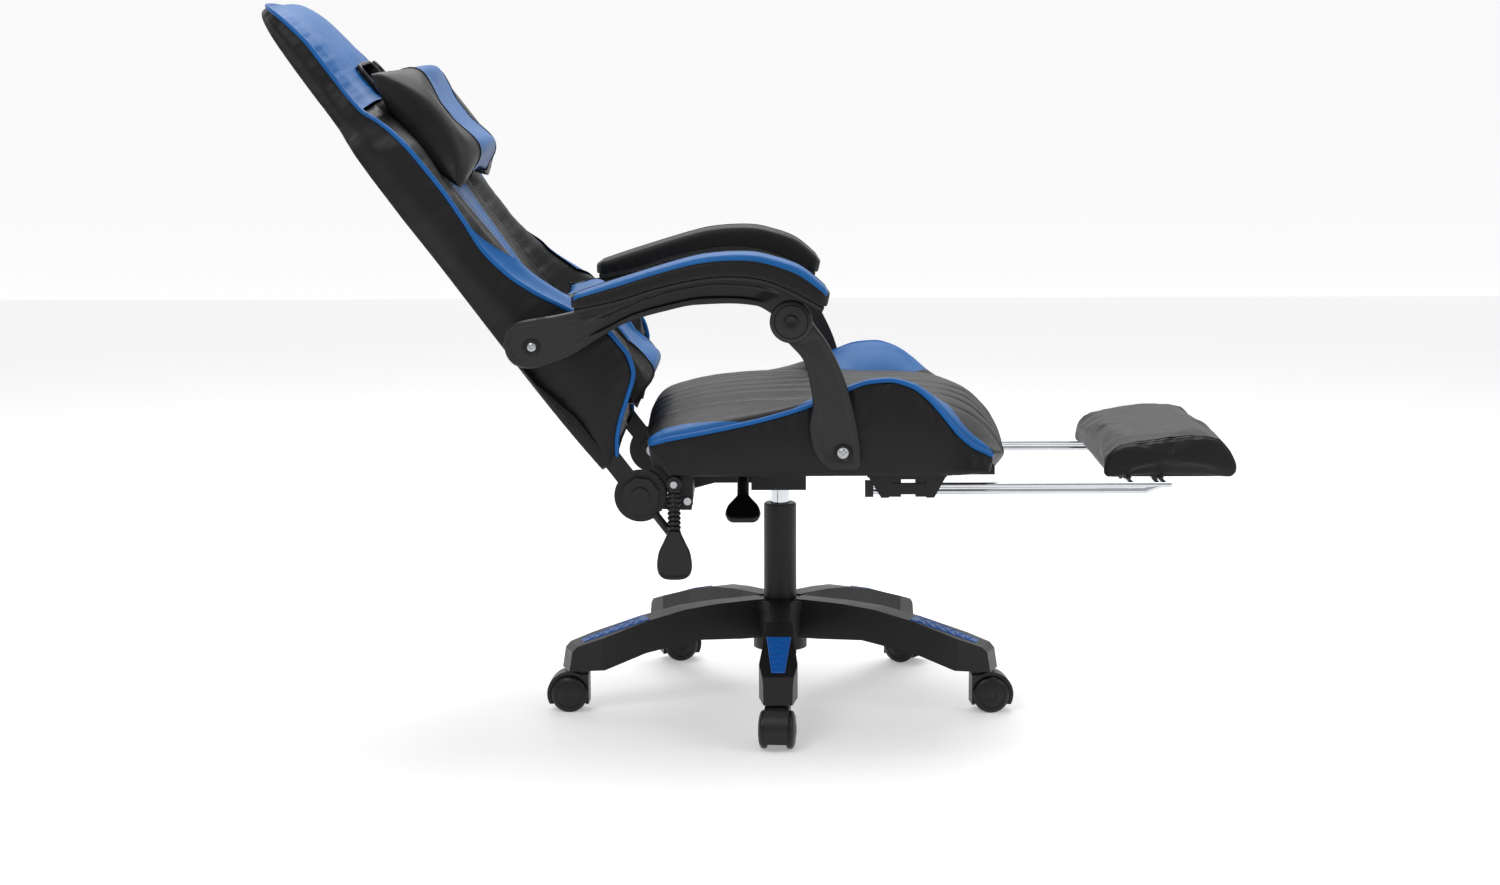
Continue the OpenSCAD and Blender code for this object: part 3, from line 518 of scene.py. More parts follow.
def make_back():
    """Front panels, head, side panels, rear face and bottom of the back, sewn into one cover.
    Each panel is a cubic surface through its rails, lifted between its seams by height times
    (1 - exp(-distance / reach)); the slots are left open in the head and in the rear face."""
    s = BACK_STATIONS
    c, m, g, k, e = back_rails(s)
    body, head = s <= COLOUR_LINE + 1e-9, s >= COLOUR_LINE - 1e-9
    slot = (s >= SLOT_LOW - 1e-9) & (s <= SLOT_HIGH + 1e-9)
    shell = Shell()

    def front(rails, across, n, mat, **puff):
        """One panel of the front, from the bottom up to the colour line, and its mirror image."""
        shell.mirrored(placed(puffed(skin([r[body] for r in rails], across, n), 1, **puff)), mat)

    front((c, m), (0, 1), 10, BLUE, height=0.003, edges="r", wrinkle=0.0004)
    front((m, g), (0, 1), 14, BLACK, height=0.004, wrinkle=0.0006, seed=2.0)
    front((g, k, e), (0, 0.62, 1.0), 34, BLACK, height=0.006, reach=0.016, wrinkle=0.0010, length=0.045,
          seed=4.0)
    # head: plain around the slots, one crowned panel above
    grid = skin([r[head] for r in (c, m, g, k, e)], (0, 0.22, 0.5, 0.78, 1.0), 45)
    pull = np.exp(-np.abs(grid[..., 1] - 0.76) / 0.035) * np.exp(-((np.abs(grid[..., 0]) - 0.06) / 0.05) ** 2)
    folds = 0.0016 * pull * np.sin(np.abs(grid[..., 0]) * 330 + grid[..., 1] * 40)
    grid = puffed(grid, 1, height=0.004, edges="rb", wrinkle=0.0007, seed=6.0)
    grid[..., 2] += folds
    rows = s[head]
    hole_rows = rows[:-1] < SLOT_HIGH - 1e-6
    cols = np.linspace(0, 1, 45)
    hole_cols = (cols[:-1] > 0.22 - 0.02) & (cols[1:] < 0.5 + 0.02)
    keep = ~(hole_rows[:, None] & hole_cols[None, :])
    shell.pierced(placed(grid), BLUE, keep)
    # side panel and rear face
    corner, outer, inner, middle = rear_rails(s)
    bulge = np.where(s < 0.66, 0.012, 0.008) * np.clip((0.95 - s) / 0.1, 0, 1)
    waist = e + (corner - e) * 0.5
    waist[:, 0] += np.minimum(bulge, np.maximum(SIDE - 0.002 - waist[:, 0], 0))
    side = skin([e, waist, corner], (0, 0.5, 1.0), 22)
    seam = np.exp(-((side[..., 1] - (0.655 + 0.10 * (0.02 - side[..., 2]))) / 0.0016) ** 2)
    side = puffed(side, 1, height=0.0025, wrinkle=0.0008, length=0.05, seed=3.0)
    side[..., 0] -= 0.0022 * seam
    shell.mirrored(placed(side), BLACK)
    grid = skin([corner, outer, inner, middle], (0, 0.4, 0.8, 1.0), 41)
    grid = puffed(grid, 1, height=0.002, edges="l", wrinkle=0.0)
    cols = np.linspace(0, 1, 41)
    keep = ~(slot[:-1, None] & slot[1:, None] & ((cols[:-1] > 0.38) & (cols[1:] < 0.82))[None, :])
    shell.pierced(placed(grid), BLACK, keep)
    # bottom, closed between the front edge and the rear edge
    fr = np.vstack([c[:1], m[:1], g[:1], k[:1], e[:1]])
    rr = np.vstack([middle[:1], inner[:1], outer[:1], (outer[:1] + corner[:1]) / 2, corner[:1]])
    low = skin([fr, rr], (0, 1), 6)
    shell.mirrored(placed(low)[:, ::-1], BLACK)
    return shell.build("back_upholstery", merge=0.0004)


back = make_back()
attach(back, "back")
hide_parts("back_cushion", "back_shell", "back_frame")


# ---------------------------------------------------------------- piping and gussets of the back

def make_back_piping():
    """Blue piping up one edge of the front, over the head and down the other: a circle carried along
    the edge rail."""
    s = np.unique(np.concatenate([np.linspace(0.066, 0.86, 240), np.linspace(0.86, 0.95, 90)]))
    e = through(EDGE, s)
    e[:, 0] += 0.0012 * np.clip((0.95 - s) / 0.05, 0, 1)
    e[:, 2] += 0.0016
    ring = placed(np.vstack([e, (e * [-1, 1, 1])[::-1][1:]]))
    shell = Shell()
    add_tube(shell, even(ring, 620), PIPING_R, PIPING, 10)
    return shell.build("back_piping")


def make_wedges():
    """The blue gussets beside the waist of the back: long leaves that lie on the bolsters
    next to the piping."""
    s = np.linspace(0.262, 0.462, 90)
    _, _, g, k, e = back_rails(s)
    u = (s - s[0]) / (s[-1] - s[0])
    wide = 0.042 * np.clip(u / 0.22, 0, 1) ** 0.7 * np.clip((1 - u) / 0.5, 0, 1) ** 0.85 + 0.0012
    full = skin([g, k, e], (0, 0.62, 1.0), 34)
    full = puffed(full, 1, height=0.006, reach=0.016, wrinkle=0.0, length=0.045, seed=4.0)
    run = np.cumsum(np.linalg.norm(np.diff(full[:, ::-1], axis=1), axis=2), axis=1)
    run = np.hstack([np.zeros((len(s), 1)), run])
    back_from_edge = full[:, ::-1]
    cols = 12
    at = np.linspace(0, 1, cols)
    out = np.array([np.stack([np.interp(at * w, r, line[:, i]) for i in range(3)], 1)
                    for w, r, line in zip(wide, run, back_from_edge)])
    nrm = normals(out)
    rise = 0.0014 * np.clip(np.sin(np.pi * at), 0, 1) ** 0.4
    out = out - nrm * (0.0004 + rise)[None, :, None]
    under = out + nrm * 0.004
    shell = Shell()
    shell.mirrored(placed(out[:, ::-1]), BLUE)
    shell.mirrored(placed(under), BLUE)
    return shell.build("back_blue_gussets", merge=0.00002)


back_piping = make_back_piping()
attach(back_piping, "back")
gussets = make_wedges()
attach(gussets, "back")

# ---------------------------------------------------------------- seat

# Half of the seat. Each row: station, forward, across, up. Stations run from the rear edge over the top
# to the front edge.
SEAT_CENTRE = [(0.00, -0.170, 0, 0.384), (0.03, -0.192, 0, 0.404), (0.06, -0.196, 0, 0.432),
               (0.10, -0.184, 0, 0.459), (0.16, -0.149, 0, 0.473), (0.25, -0.100, 0, 0.483),
               (0.38, -0.029, 0, 0.489), (0.55, 0.060, 0, 0.491), (0.64, 0.120, 0, 0.490),
               (0.72, 0.180, 0, 0.489), (0.80, 0.235, 0, 0.486), (0.86, 0.276, 0, 0.476),
               (0.91, 0.306, 0, 0.452), (0.95, 0.326, 0, 0.424), (0.975, 0.333, 0, 0.402),
               (1.00, 0.322, 0, 0.384)]
SEAT_GROOVE = [(0.00, -0.168, 0.172, 0.384), (0.03, -0.190, 0.172, 0.402), (0.06, -0.194, 0.174, 0.428),
               (0.10, -0.182, 0.178, 0.453), (0.16, -0.148, 0.182, 0.468), (0.25, -0.098, 0.184, 0.478),
               (0.38, -0.029, 0.186, 0.484), (0.55, 0.060, 0.186, 0.485), (0.64, 0.120, 0.186, 0.484),
               (0.72, 0.180, 0.186, 0.483), (0.80, 0.235, 0.184, 0.478), (0.86, 0.272, 0.180, 0.464),
               (0.91, 0.300, 0.176, 0.442), (0.95, 0.319, 0.172, 0.416), (0.975, 0.326, 0.170, 0.400),
               (1.00, 0.316, 0.168, 0.384)]
SEAT_EDGE = [(0.00, -0.168, 0.236, 0.386), (0.03, -0.186, 0.252, 0.402), (0.06, -0.190, 0.260, 0.426),
             (0.10, -0.172, 0.263, 0.434), (0.16, -0.138, 0.264, 0.441), (0.25, -0.096, 0.264, 0.449),
             (0.38, -0.029, 0.264, 0.464), (0.50, 0.036, 0.264, 0.483), (0.60, 0.090, 0.264, 0.506),
             (0.66, 0.128, 0.264, 0.519), (0.70, 0.155, 0.264, 0.521), (0.75, 0.186, 0.263, 0.513),
             (0.79, 0.211, 0.262, 0.495), (0.83, 0.234, 0.261, 0.469), (0.87, 0.256, 0.259, 0.442),
             (0.91, 0.277, 0.256, 0.424), (0.95, 0.296, 0.250, 0.414), (0.975, 0.306, 0.240, 0.406),
             (1.00, 0.300, 0.232, 0.388)]
SEAT_STATIONS = np.linspace(0, 1, 190)
CHANNELS = (0.030, 0.078, 0.124)


def seat_rails(s):
    """The middle, the groove and the piping line of half the seat at the given stations."""
    return through(SEAT_CENTRE, s), through(SEAT_GROOVE, s), through(SEAT_EDGE, s)


def make_seat():
    """Top panel with sewn channels, bolsters with blue inner faces, side panels and the underside."""
    s = SEAT_STATIONS
    c, g, e = seat_rails(s)
    shell = Shell()
    crown = np.sin(np.clip(s, 0, 1) * np.pi) ** 0.5 * 0.004
    mid = c + (g - c) * 0.5
    mid[:, 2] += 0.001
    top = skin([c, mid, g], (0, 0.5, 1.0), 132)
    top[..., 2] += crown[:, None] * (1 - (top[..., 1] / 0.18) ** 2)
    top = puffed(top, 1, height=0.003, reach=0.010, wrinkle=0.0003, length=0.09, edges="r", seed=1.3)
    fade = np.clip(s / 0.05, 0, 1) * np.clip((1 - s) / 0.05, 0, 1)
    nrm = normals(top)
    for k, line in enumerate(CHANNELS):
        gap = np.abs(top[..., 1] - line)
        dip = 0.0017 * np.exp(-(gap / 0.0032) ** 2) + 0.0010 * np.exp(-(gap / 0.010) ** 2)
        dip += 0.00012 * np.exp(-gap / 0.012) * waver(top[..., 0] * 2 * np.pi / 0.07, 1.0 + k)
        top -= nrm * (dip * fade[:, None])[..., None]
    front = np.clip((s - 0.84) / 0.1, 0, 1)[:, None]
    top += nrm * (0.0011 * front * waver(top[..., 1] * 2 * np.pi / 0.055 + s[:, None] * 22, 2.2))[..., None]
    shell.mirrored(top, BLACK)
    # bolster: a rail between groove and piping gives it its hollow inner slope
    lift = np.exp(-((s - 0.70) / 0.10) ** 2)
    knee = g + (e - g) * 0.5
    knee[:, 2] += 0.004 + 0.004 * lift
    near = g + (e - g) * 0.86
    near[:, 2] += 0.0065 * (1 - lift) + 0.0075 * lift
    slope = skin([g, knee, near, e], (0, 0.5, 0.86, 1.0), 40)
    slope = puffed(slope, 1, height=0.0020, reach=0.010, wrinkle=0.0002, length=0.06, seed=2.5)
    # the blue leaf next to the piping: widest over the bolster, a thin wedge behind it
    share = through([(0.00, 0.99), (0.05, 0.93), (0.08, 0.80), (0.11, 0.71), (0.16, 0.73), (0.22, 0.80),
                     (0.30, 0.91), (0.36, 0.975), (0.40, 0.985), (0.46, 0.95), (0.52, 0.82), (0.57, 0.45),
                     (0.62, 0.0), (0.76, 0.0), (0.81, 0.30), (0.85, 0.62), (0.88, 0.76), (0.93, 0.80),
                     (0.97, 0.93), (1.00, 0.99)], s)[:, 0]
    v = np.linspace(0, 1, 40)
    ends = np.zeros(len(s)), np.ones(len(s))
    for lo, hi, mat in ((ends[0], share, BLACK), (share, ends[1], BLUE)):
        at = np.linspace(lo, hi, 26, axis=1)
        leaf = [np.stack([np.interp(a, v, line[:, i]) for i in range(3)], 1) for a, line in zip(at, slope)]
        shell.mirrored(np.array(leaf), mat)
    # side panel down to the lower edge
    low = np.stack([np.clip(e[:, 0], -0.158, 0.296), np.full(len(s), SIDE - 0.012),
                    np.full(len(s), SEAT_FLOOR + 0.0005)], 1)
    low[:, 2] += 0.004 * np.clip((low[:, 0] - 0.22) / 0.07, 0, 1) ** 2
    waist = e + (low - e) * 0.45
    tall = np.clip((e[:, 2] - 0.40) / 0.1, 0, 1)
    waist[:, 1] = np.minimum(SIDE + 0.0035, waist[:, 1] + 0.010 * tall)
    skirt = low.copy()
    skirt[:, 2] += 0.010 * tall
    skirt[:, 1] = SIDE - 0.003
    side = skin([e, waist, skirt, low], (0, 0.45, 0.9, 1.0), 40)
    crease = 0.0022 * np.exp(-((side[..., 0] - 0.150 + (0.52 - side[..., 2]) * 0.55) / 0.006) ** 2)
    crease += 0.0016 * np.exp(-((side[..., 0] - 0.128 + (0.52 - side[..., 2]) * 0.12) / 0.005) ** 2)
    crease *= np.clip((side[..., 2] - 0.452) / 0.04, 0, 1)
    side = puffed(side, 1, height=0.003, reach=0.014, wrinkle=0.0011, length=0.042, edges="l", seed=5.0)
    side[..., 1] -= crease
    shell.mirrored(side, BLACK)
    base = c * [1, 1, 0] + [0, 0, SEAT_FLOOR]
    base[:, 0] = np.clip(base[:, 0], -0.170, 0.322)
    rim = low + [0, -0.014, -0.0005]
    flat = skin([low, rim, base], (0, 0.1, 1.0), 12)
    rising = 0.004 * np.clip((flat[..., 0] - 0.22) / 0.07, 0, 1) ** 2
    flat[..., 2] = np.minimum(flat[..., 2], SEAT_FLOOR + 0.0005 + rising)
    shell.mirrored(flat, BLACK)
    return shell.build("seat_upholstery", merge=0.0004)


def make_seat_piping():
    """Blue piping along both side edges of the top, tapered at its ends: a circle carried along
    the edge rail."""
    s = np.linspace(0.058, 0.975, 320)
    e = through(SEAT_EDGE, s) + [0, 0.0016, 0.0014]
    shell = Shell()
    path = even(e, 300)
    end = np.clip(np.minimum(np.arange(300), np.arange(300)[::-1]) / 4, 0.25, 1)
    add_tube(shell, path, PIPING_R * end, PIPING, 10)
    add_tube(shell, path * [1, -1, 1], PIPING_R * end, PIPING, 10)
    return shell.build("seat_piping")


def make_seat_stitching():
    """Thread along the sewn channels of the seat."""
    shell = Shell()
    s = np.linspace(0.07, 0.955, 240)
    c, g, _ = seat_rails(s)
    for line in CHANNELS:
        share = line / g[:, 1:2]
        path = c + (g - c) * share
        path[:, 2] += np.sin(s * np.pi) ** 0.5 * 0.004 * (1 - (line / 0.18) ** 2) + 0.0012
        nrm = np.tile([0.0, 0.0, 1.0], (len(s), 1))
        for sign in (1, -1):
            stitches(shell, path * [1, sign, 1], nrm, THREAD)
    return shell.build("seat_stitching", merge=0)


seat = make_seat()
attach(seat, "seat")
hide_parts("seat_cushion")
seat_piping = make_seat_piping()
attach(seat_piping, "seat")
seat_thread = make_seat_stitching()
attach(seat_thread, "seat")

# ---------------------------------------------------------------- stuffed pieces, swelled as cloth

def swell(obj, pressure, frames, cap, stiff=8.0):
    """Blows a sewn cover up as cloth: no weight, steady pressure, and no point moves further than the cap."""
    start = np.empty(len(obj.data.vertices) * 3)
    obj.data.vertices.foreach_get("co", start)
    mod = obj.modifiers.new("cloth", "CLOTH")
    cloth = mod.settings
    cloth.quality = 6
    cloth.mass = 0.3
    cloth.tension_stiffness = stiff
    cloth.compression_stiffness = stiff
    cloth.shear_stiffness = stiff * 0.6
    cloth.bending_stiffness = 0.6
    cloth.use_pressure = True
    cloth.uniform_pressure_force = pressure
    cloth.effector_weights.gravity = 0.0
    mod.collision_settings.use_collision = False
    mod.point_cache.frame_start = 1
    mod.point_cache.frame_end = frames
    scene = bpy.context.scene
    for f in range(1, frames + 1):
        scene.frame_set(f)
    deps = bpy.context.evaluated_depsgraph_get()
    mesh = obj.evaluated_get(deps).to_mesh()
    end = np.empty_like(start)
    mesh.vertices.foreach_get("co", end)
    obj.evaluated_get(deps).to_mesh_clear()
    obj.modifiers.remove(mod)
    scene.frame_set(1)
    move = (end - start).reshape(-1, 3)
    far = np.linalg.norm(move, axis=1, keepdims=True)
    move *= np.minimum(1.0, cap / np.maximum(far, 1e-9))
    obj.data.vertices.foreach_set("co", (start.reshape(-1, 3) + move).ravel())
    obj.data.update()
    return obj


def coords(obj):
    """Vertex places of a mesh object, one row each."""
    co = np.empty(len(obj.data.vertices) * 3)
    obj.data.vertices.foreach_get("co", co)
    return co.reshape(-1, 3)


def set_coords(obj, co):
    """Puts the vertices of a mesh object at the given places."""
    obj.data.vertices.foreach_set("co", np.asarray(co, float).ravel())
    obj.data.update()


def subdivided(obj):
    """The object with one smoothing subdivision, the same in view and render."""
    mod = obj.modifiers.new("soften", "SUBSURF")
    mod.levels = render_levels
    mod.render_levels = render_levels
    return obj


def sewn_pillow(name, half_w, half_h, depth, band, nu, nv):
    """Two sheets sewn together round the edge, blue between the bands and black at the ends.
    In its own axes: X across, Y up, Z out of the front."""
    u = np.unique(np.concatenate([np.linspace(-1, -band, nu // 4), np.linspace(-band, band, nu // 2),
                                  np.linspace(band, 1, nu // 4)]))
    v = np.linspace(-1, 1, nv)
    U, V = np.meshgrid(u, v, indexing="ij")
    pull_x = 1 - 0.055 * (1 - V**2)
    pull_y = 1 - 0.05 * (1 - U**2)
    X, Y = half_w * U * pull_x, half_h * V * pull_y
    full = np.clip(1 - U**2, 0, 1) ** 0.5 * np.clip(1 - V**2, 0, 1) ** 0.5
    shell = Shell()
    for sign in (1, -1):
        Z = sign * depth * full
        pts = np.stack([X, Y, Z], -1)
        for lo, hi, mat in ((-1, -band, BLACK), (-band, band, BLUE), (band, 1, BLACK)):
            rows = (u >= lo - 1e-9) & (u <= hi + 1e-9)
            shell.grid(pts[rows] if sign > 0 else pts[rows][:, ::-1], mat)
    return shell.build(name, merge=0.0002)


def seam_edges(obj):
    """Edges, as pairs of vertex indices, where one material meets another."""
    edge_faces = {}
    for poly in obj.data.polygons:
        for key in poly.edge_keys:
            edge_faces.setdefault(key, set()).add(poly.material_index)
    return [key for key, kinds in edge_faces.items() if len(kinds) > 1]


def ordered_loops(keys):
    """Chains edge keys into closed loops of vertex indices."""
    near = {}
    for a, b in keys:
        near.setdefault(a, []).append(b)
        near.setdefault(b, []).append(a)
    loops, used = [], set()
    for start in sorted(near):
        if start in used:
            continue
        loop, at, last = [start], near[start][0], start
        used.add(start)
        while at != start and at not in used:
            loop.append(at)
            used.add(at)
            nxt = [n for n in near[at] if n != last]
            last, at = at, nxt[0] if nxt else start
        loops.append(loop)
    return loops


def make_pillow(name, node, half_w, t0, t1, n_back, n_front, band, curl, pressure, blunt=1.0, squeezed=1.0):
    """A stuffed pillow that leans on the front of the back; curl bends its ends towards the back.
    Where squeezed is below 1, the pillow and its seams are given meshes of their own; nothing squeezes them."""
    half_h = (t1 - t0) / 2
    obj = sewn_pillow(name, half_w * 1.04, half_h * 1.10, 0.030, band, 88, 34)
    swell(obj, pressure, 16, 0.055)
    co = coords(obj)
    depth = (n_front - n_back) / 2
    co[:, 0] *= half_w / np.abs(co[:, 0]).max()
    co[:, 1] *= half_h / np.abs(co[:, 1]).max()
    co[:, 2] = depth * np.sign(co[:, 2]) * (np.abs(co[:, 2]) / np.abs(co[:, 2]).max()) ** blunt
    behind = co[:, 2] < 0
    co[behind, 2] *= 0.72
    y, t = co[:, 0], co[:, 1] + (t0 + t1) / 2
    n = n_back + depth * 0.72 + co[:, 2] - curl * (y / half_w) ** 2
    pts = back_point(y, t, n)
    set_coords(obj, pts)
    loops = ordered_loops(seam_edges(obj))
    piping = Shell()
    for loop in loops:
        path = pts[loop]
        add_tube(piping, path, 0.0016, THREAD, 6, closed=True)
    seam = piping.build(name + "_seams")
    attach(subdivided(obj), "back")
    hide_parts(node)
    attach(seam, "back")
    if squeezed < 1:
        top = back_point(0.0, t1, n_back)
        up = top - back_point(0.0, t0, n_back)
        for piece in (obj, seam):
            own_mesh(piece)


make_pillow("head_rest_pillow", "head_pillow", 0.208, 0.506, 0.716, 0.056, 0.138, 0.56, 0.020, 5.0)
make_pillow("lumbar_support_pillow", "lumbar_pillow", 0.168, 0.096, 0.300, 0.046, 0.139, 0.62, 0.012, 5.0,
            0.72, 0.78)

# ---------------------------------------------------------------- slot bezels, straps and trims

def surface_n(t, y):
    """Height of the head's front face at a place along and across the back."""
    c, m, g, k, e = back_rails(np.atleast_1d(t))
    rail_y = np.array([r[0, 0] for r in (c, m, g, k, e)])
    rail_n = np.array([r[0, 2] for r in (c, m, g, k, e)])
    return np.interp(np.abs(y), rail_y, rail_n)


def make_bezels():
    """A dark moulded frame round each slot of the head, front and rear, with the liner between them."""
    shell = Shell()
    low, high = SLOT_LOW + 0.0005, SLOT_HIGH - 0.0005
    y0, y1, r = 0.0245, 0.0935, 0.012
    corners = [(y1 - r, high - r, 0), (y0 + r, high - r, 90), (y0 + r, low + r, 180), (y1 - r, low + r, 270)]
    loop = np.vstack([np.stack([cy + r * np.cos(np.radians(np.linspace(a, a + 90, 10))),
                                ct + r * np.sin(np.radians(np.linspace(a, a + 90, 10)))], 1)
                      for cy, ct, a in corners])
    front = np.array([surface_n(t, y) for y, t in loop]).ravel()
    for sign in (1, -1):
        at = np.stack([sign * loop[:, 0], loop[:, 1], front + 0.0012], 1)
        add_tube(shell, placed(at), 0.0034, SMOOTH_BLACK, 10, closed=True)
        rear = at * [1, 1, 0] + [0, 0, -0.0245]
        add_tube(shell, placed(rear), 0.0030, SMOOTH_BLACK, 10, closed=True)
        depth = np.linspace(0, 1, 6)[:, None, None]
        for wall, turn in ((0.0, 1), (0.0022, -1)):
            centre = np.array([sign * (y0 + y1) / 2, (low + high) / 2, 0])
            inset = (at - centre) * [1 - wall / 0.0345, 1 - wall / 0.0295, 1] + centre
            tube = inset[None] * (1 - depth) + (inset * [1, 1, 0] + [0, 0, -0.0245])[None] * depth
            tube = placed(tube)
            tube = np.concatenate([tube, tube[:, :1]], axis=1)
            shell.grid(tube[:, ::turn * (1 if sign > 0 else -1)], SMOOTH_BLACK)
    obj = shell.build("head_slot_bezels", merge=0.00002)
    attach(obj, "back")


def make_straps():
    """Elastic straps that hold the head pillow: out of its back, through the slots and across the rear."""
    shell = Shell()
    width, thick = 0.028, 0.0014
    across = np.linspace(-0.5, 0.5, 7) * width
    line = rounded_curve([(0.640, 0.078), (0.668, 0.072), (0.690, 0.062), (0.704, 0.050), (0.712, 0.030),
                          (0.716, 0.005), (0.716, -0.016), (0.712, -0.0262), (0.700, -0.0285)], 60)
    tan = np.gradient(line, axis=0)
    nrm = np.stack([-tan[:, 1], tan[:, 0]], 1)
    nrm /= np.linalg.norm(nrm, axis=1, keepdims=True)
    for y in (0.058, -0.058):
        for lift, turn in ((0.0, 1), (thick, -1)):
            p = line + nrm * lift
            g = np.stack([np.broadcast_to(y + across, (60, 7)), np.broadcast_to(p[:, :1], (60, 7)),
                          np.broadcast_to(p[:, 1:], (60, 7))], -1)
            shell.grid(placed(g)[:, ::turn], STRAP)
    y = np.linspace(-0.066, 0.066, 40)
    for lift, turn in ((0.0, -1), (thick, 1)):
        g = np.stack([np.broadcast_to(y[:, None], (40, 7)), np.broadcast_to(0.706 + across, (40, 7)),
                      np.full((40, 7), -0.0275 - lift)], -1)
        shell.grid(placed(g)[:, ::turn], STRAP)
    obj = shell.build("head_pillow_straps", merge=0)
    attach(obj, "back")


def make_back_stitching():
    """Thread beside the seams of the front: spindles laid along the rails, 1.6 mm proud of them."""
    shell = Shell()
    s = np.linspace(0.16, 0.66, 260)
    _, m, g, _, _ = back_rails(s)
    out = np.tile(back_point(0, 0, 1.0) - back_point(0, 0, 0.0), (len(s), 1))
    for rail, shifts in ((g, (0.004, -0.004)), (m, (0.0035,))):
        for side in (1, -1):
            for shift in shifts:
                path = (rail + [shift, 0, 0.0016]) * [side, 1, 1] + [0, 0, 0.0014]
                stitches(shell, placed(path), out, THREAD)
    obj = shell.build("back_stitching", merge=0)
    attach(obj, "back")


def make_edge_trim():
    """A narrow padded strip low on each side of the back, crowned by a parabola across it, with two small
    rings and a bar on it."""
    trim = Shell()
    top, line_n = 0.250, -0.012
    a = np.linspace(0, 2 * np.pi, 24, endpoint=False)
    for side in (1, -1):
        t = np.linspace(0.066, top, 60)
        wide = 0.019 * np.clip((top - t) / 0.10, 0.25, 1)
        y = np.minimum(through(EDGE, t)[:, 0], SIDE - 0.003) - 0.0013
        v = np.linspace(0, 1, 9)
        n = -0.0205 + v[None, :] * wide[:, None]
        puff = 0.0032 + 0.0026 * (1 - (2 * v - 1) ** 2)[None, :]
        grid = np.stack([y[:, None] + puff + 0 * n, t[:, None] + 0 * n, n], -1)
        tucked = [0.010, 0, 0]
        grid = np.concatenate([grid[:, :1] - tucked, grid, grid[:, -1:] - tucked], axis=1)
        if side < 0:
            grid = (grid * [-1, 1, 1])[:, ::-1]
        trim.grid(placed(grid), BLACK)
        for at in (0.150, 0.178):
            face = min(through(EDGE, np.array([at]))[0, 0], SIDE - 0.003) + 0.0048
            ring = np.stack([np.full(24, side * face), at + 0.0048 * np.cos(a),
                             line_n + 0.0036 * np.sin(a)], 1)
            add_tube(trim, placed(ring), 0.0009, SMOOTH_BLACK, 6, closed=True)
        face = min(through(EDGE, np.array([0.164]))[0, 0], SIDE - 0.003) + 0.0050
        bar = np.stack([np.full(8, side * face), np.linspace(0.157, 0.171, 8), np.full(8, line_n)], 1)
        add_tube(trim, placed(bar), 0.0010, SMOOTH_BLACK, 6)
    obj = trim.build("back_edge_trim", merge=0.00002)
    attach(obj, "back")


make_bezels()
make_straps()
make_back_stitching()
make_edge_trim()

# ---------------------------------------------------------------- armrests and posts

PAD_BASE = [(-291, 632), (-230, 645), (-182, 660), (-131, 672), (-81, 678), (-30, 674), (14, 658), (60, 633)]
PAD_TOP = [(-291, 653), (-231, 673), (-142, 700), (-98, 709), (-47, 711), (-13, 705), (28, 690), (66, 659)]
# Edges of the armrest frame from the rear lobe forward: the upper and the lower one, station by station.
FRAME_TOP = [(-394, 579), (-389, 597), (-374, 610), (-350, 615), (-318, 620), (-291, 626), (-230, 640),
             (-182, 655), (-131, 667), (-81, 673), (-30, 669), (8, 655), (38, 637)]
FRAME_LOW = [(-394, 579), (-390, 563), (-378, 549), (-358, 544), (-330, 550), (-300, 561), (-262, 585),
             (-217, 610), (-166, 625), (-122, 634), (-74, 636), (-37, 633), (-8, 618)]
# Edges of the post from the knuckle down: the rear and the front one.
POST_REAR = [(14, 635), (-4, 628), (-11, 610), (-4, 592), (14, 574), (32, 552), (41, 520), (45, 490),
             (40, 458), (44, 430), (56, 408), (72, 396)]
POST_FRONT = [(14, 635), (30, 630), (40, 614), (50, 600), (62, 584), (74, 563), (89, 530), (101, 490),
              (109, 455), (113, 425), (114, 404), (108, 396)]
ARM_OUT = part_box("arm_pad_left")[1][1]
ARM_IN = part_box("arm_pad_left")[0][1]
WEB_IN, WEB_OUT = 0.287, 0.299
POST_IN, POST_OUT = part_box("post_left")[0][1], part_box("post_left")[1][1]
HUB_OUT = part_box("arm_cap_left")[0][1]
CAP_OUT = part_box("arm_cap_left")[1][1]


def flat_points(points, n):
    """A smooth X-Z curve through points in millimetres."""
    return rounded_curve(np.array(points) * MM, n)


def matched(points, n):
    """A smooth X-Z curve whose n samples are spread the same way between the keys,
    whatever their distance."""
    p = np.asarray(points, float) * MM
    keys = np.hstack([np.linspace(0, 1, len(p))[:, None], p])
    return through(keys, np.linspace(0, 1, n))


def at_side(grid, side):
    """The grid as it is on the left, or its mirror image on the right, still facing outwards."""
    return grid if side > 0 else (grid * [1, -1, 1])[:, ::-1]


def swelling(v, low, high, soft):
    """1 between low and high, 0 outside, with soft flanks."""
    return np.clip((v - low) / soft, 0, 1) * np.clip((high - v) / soft, 0, 1)


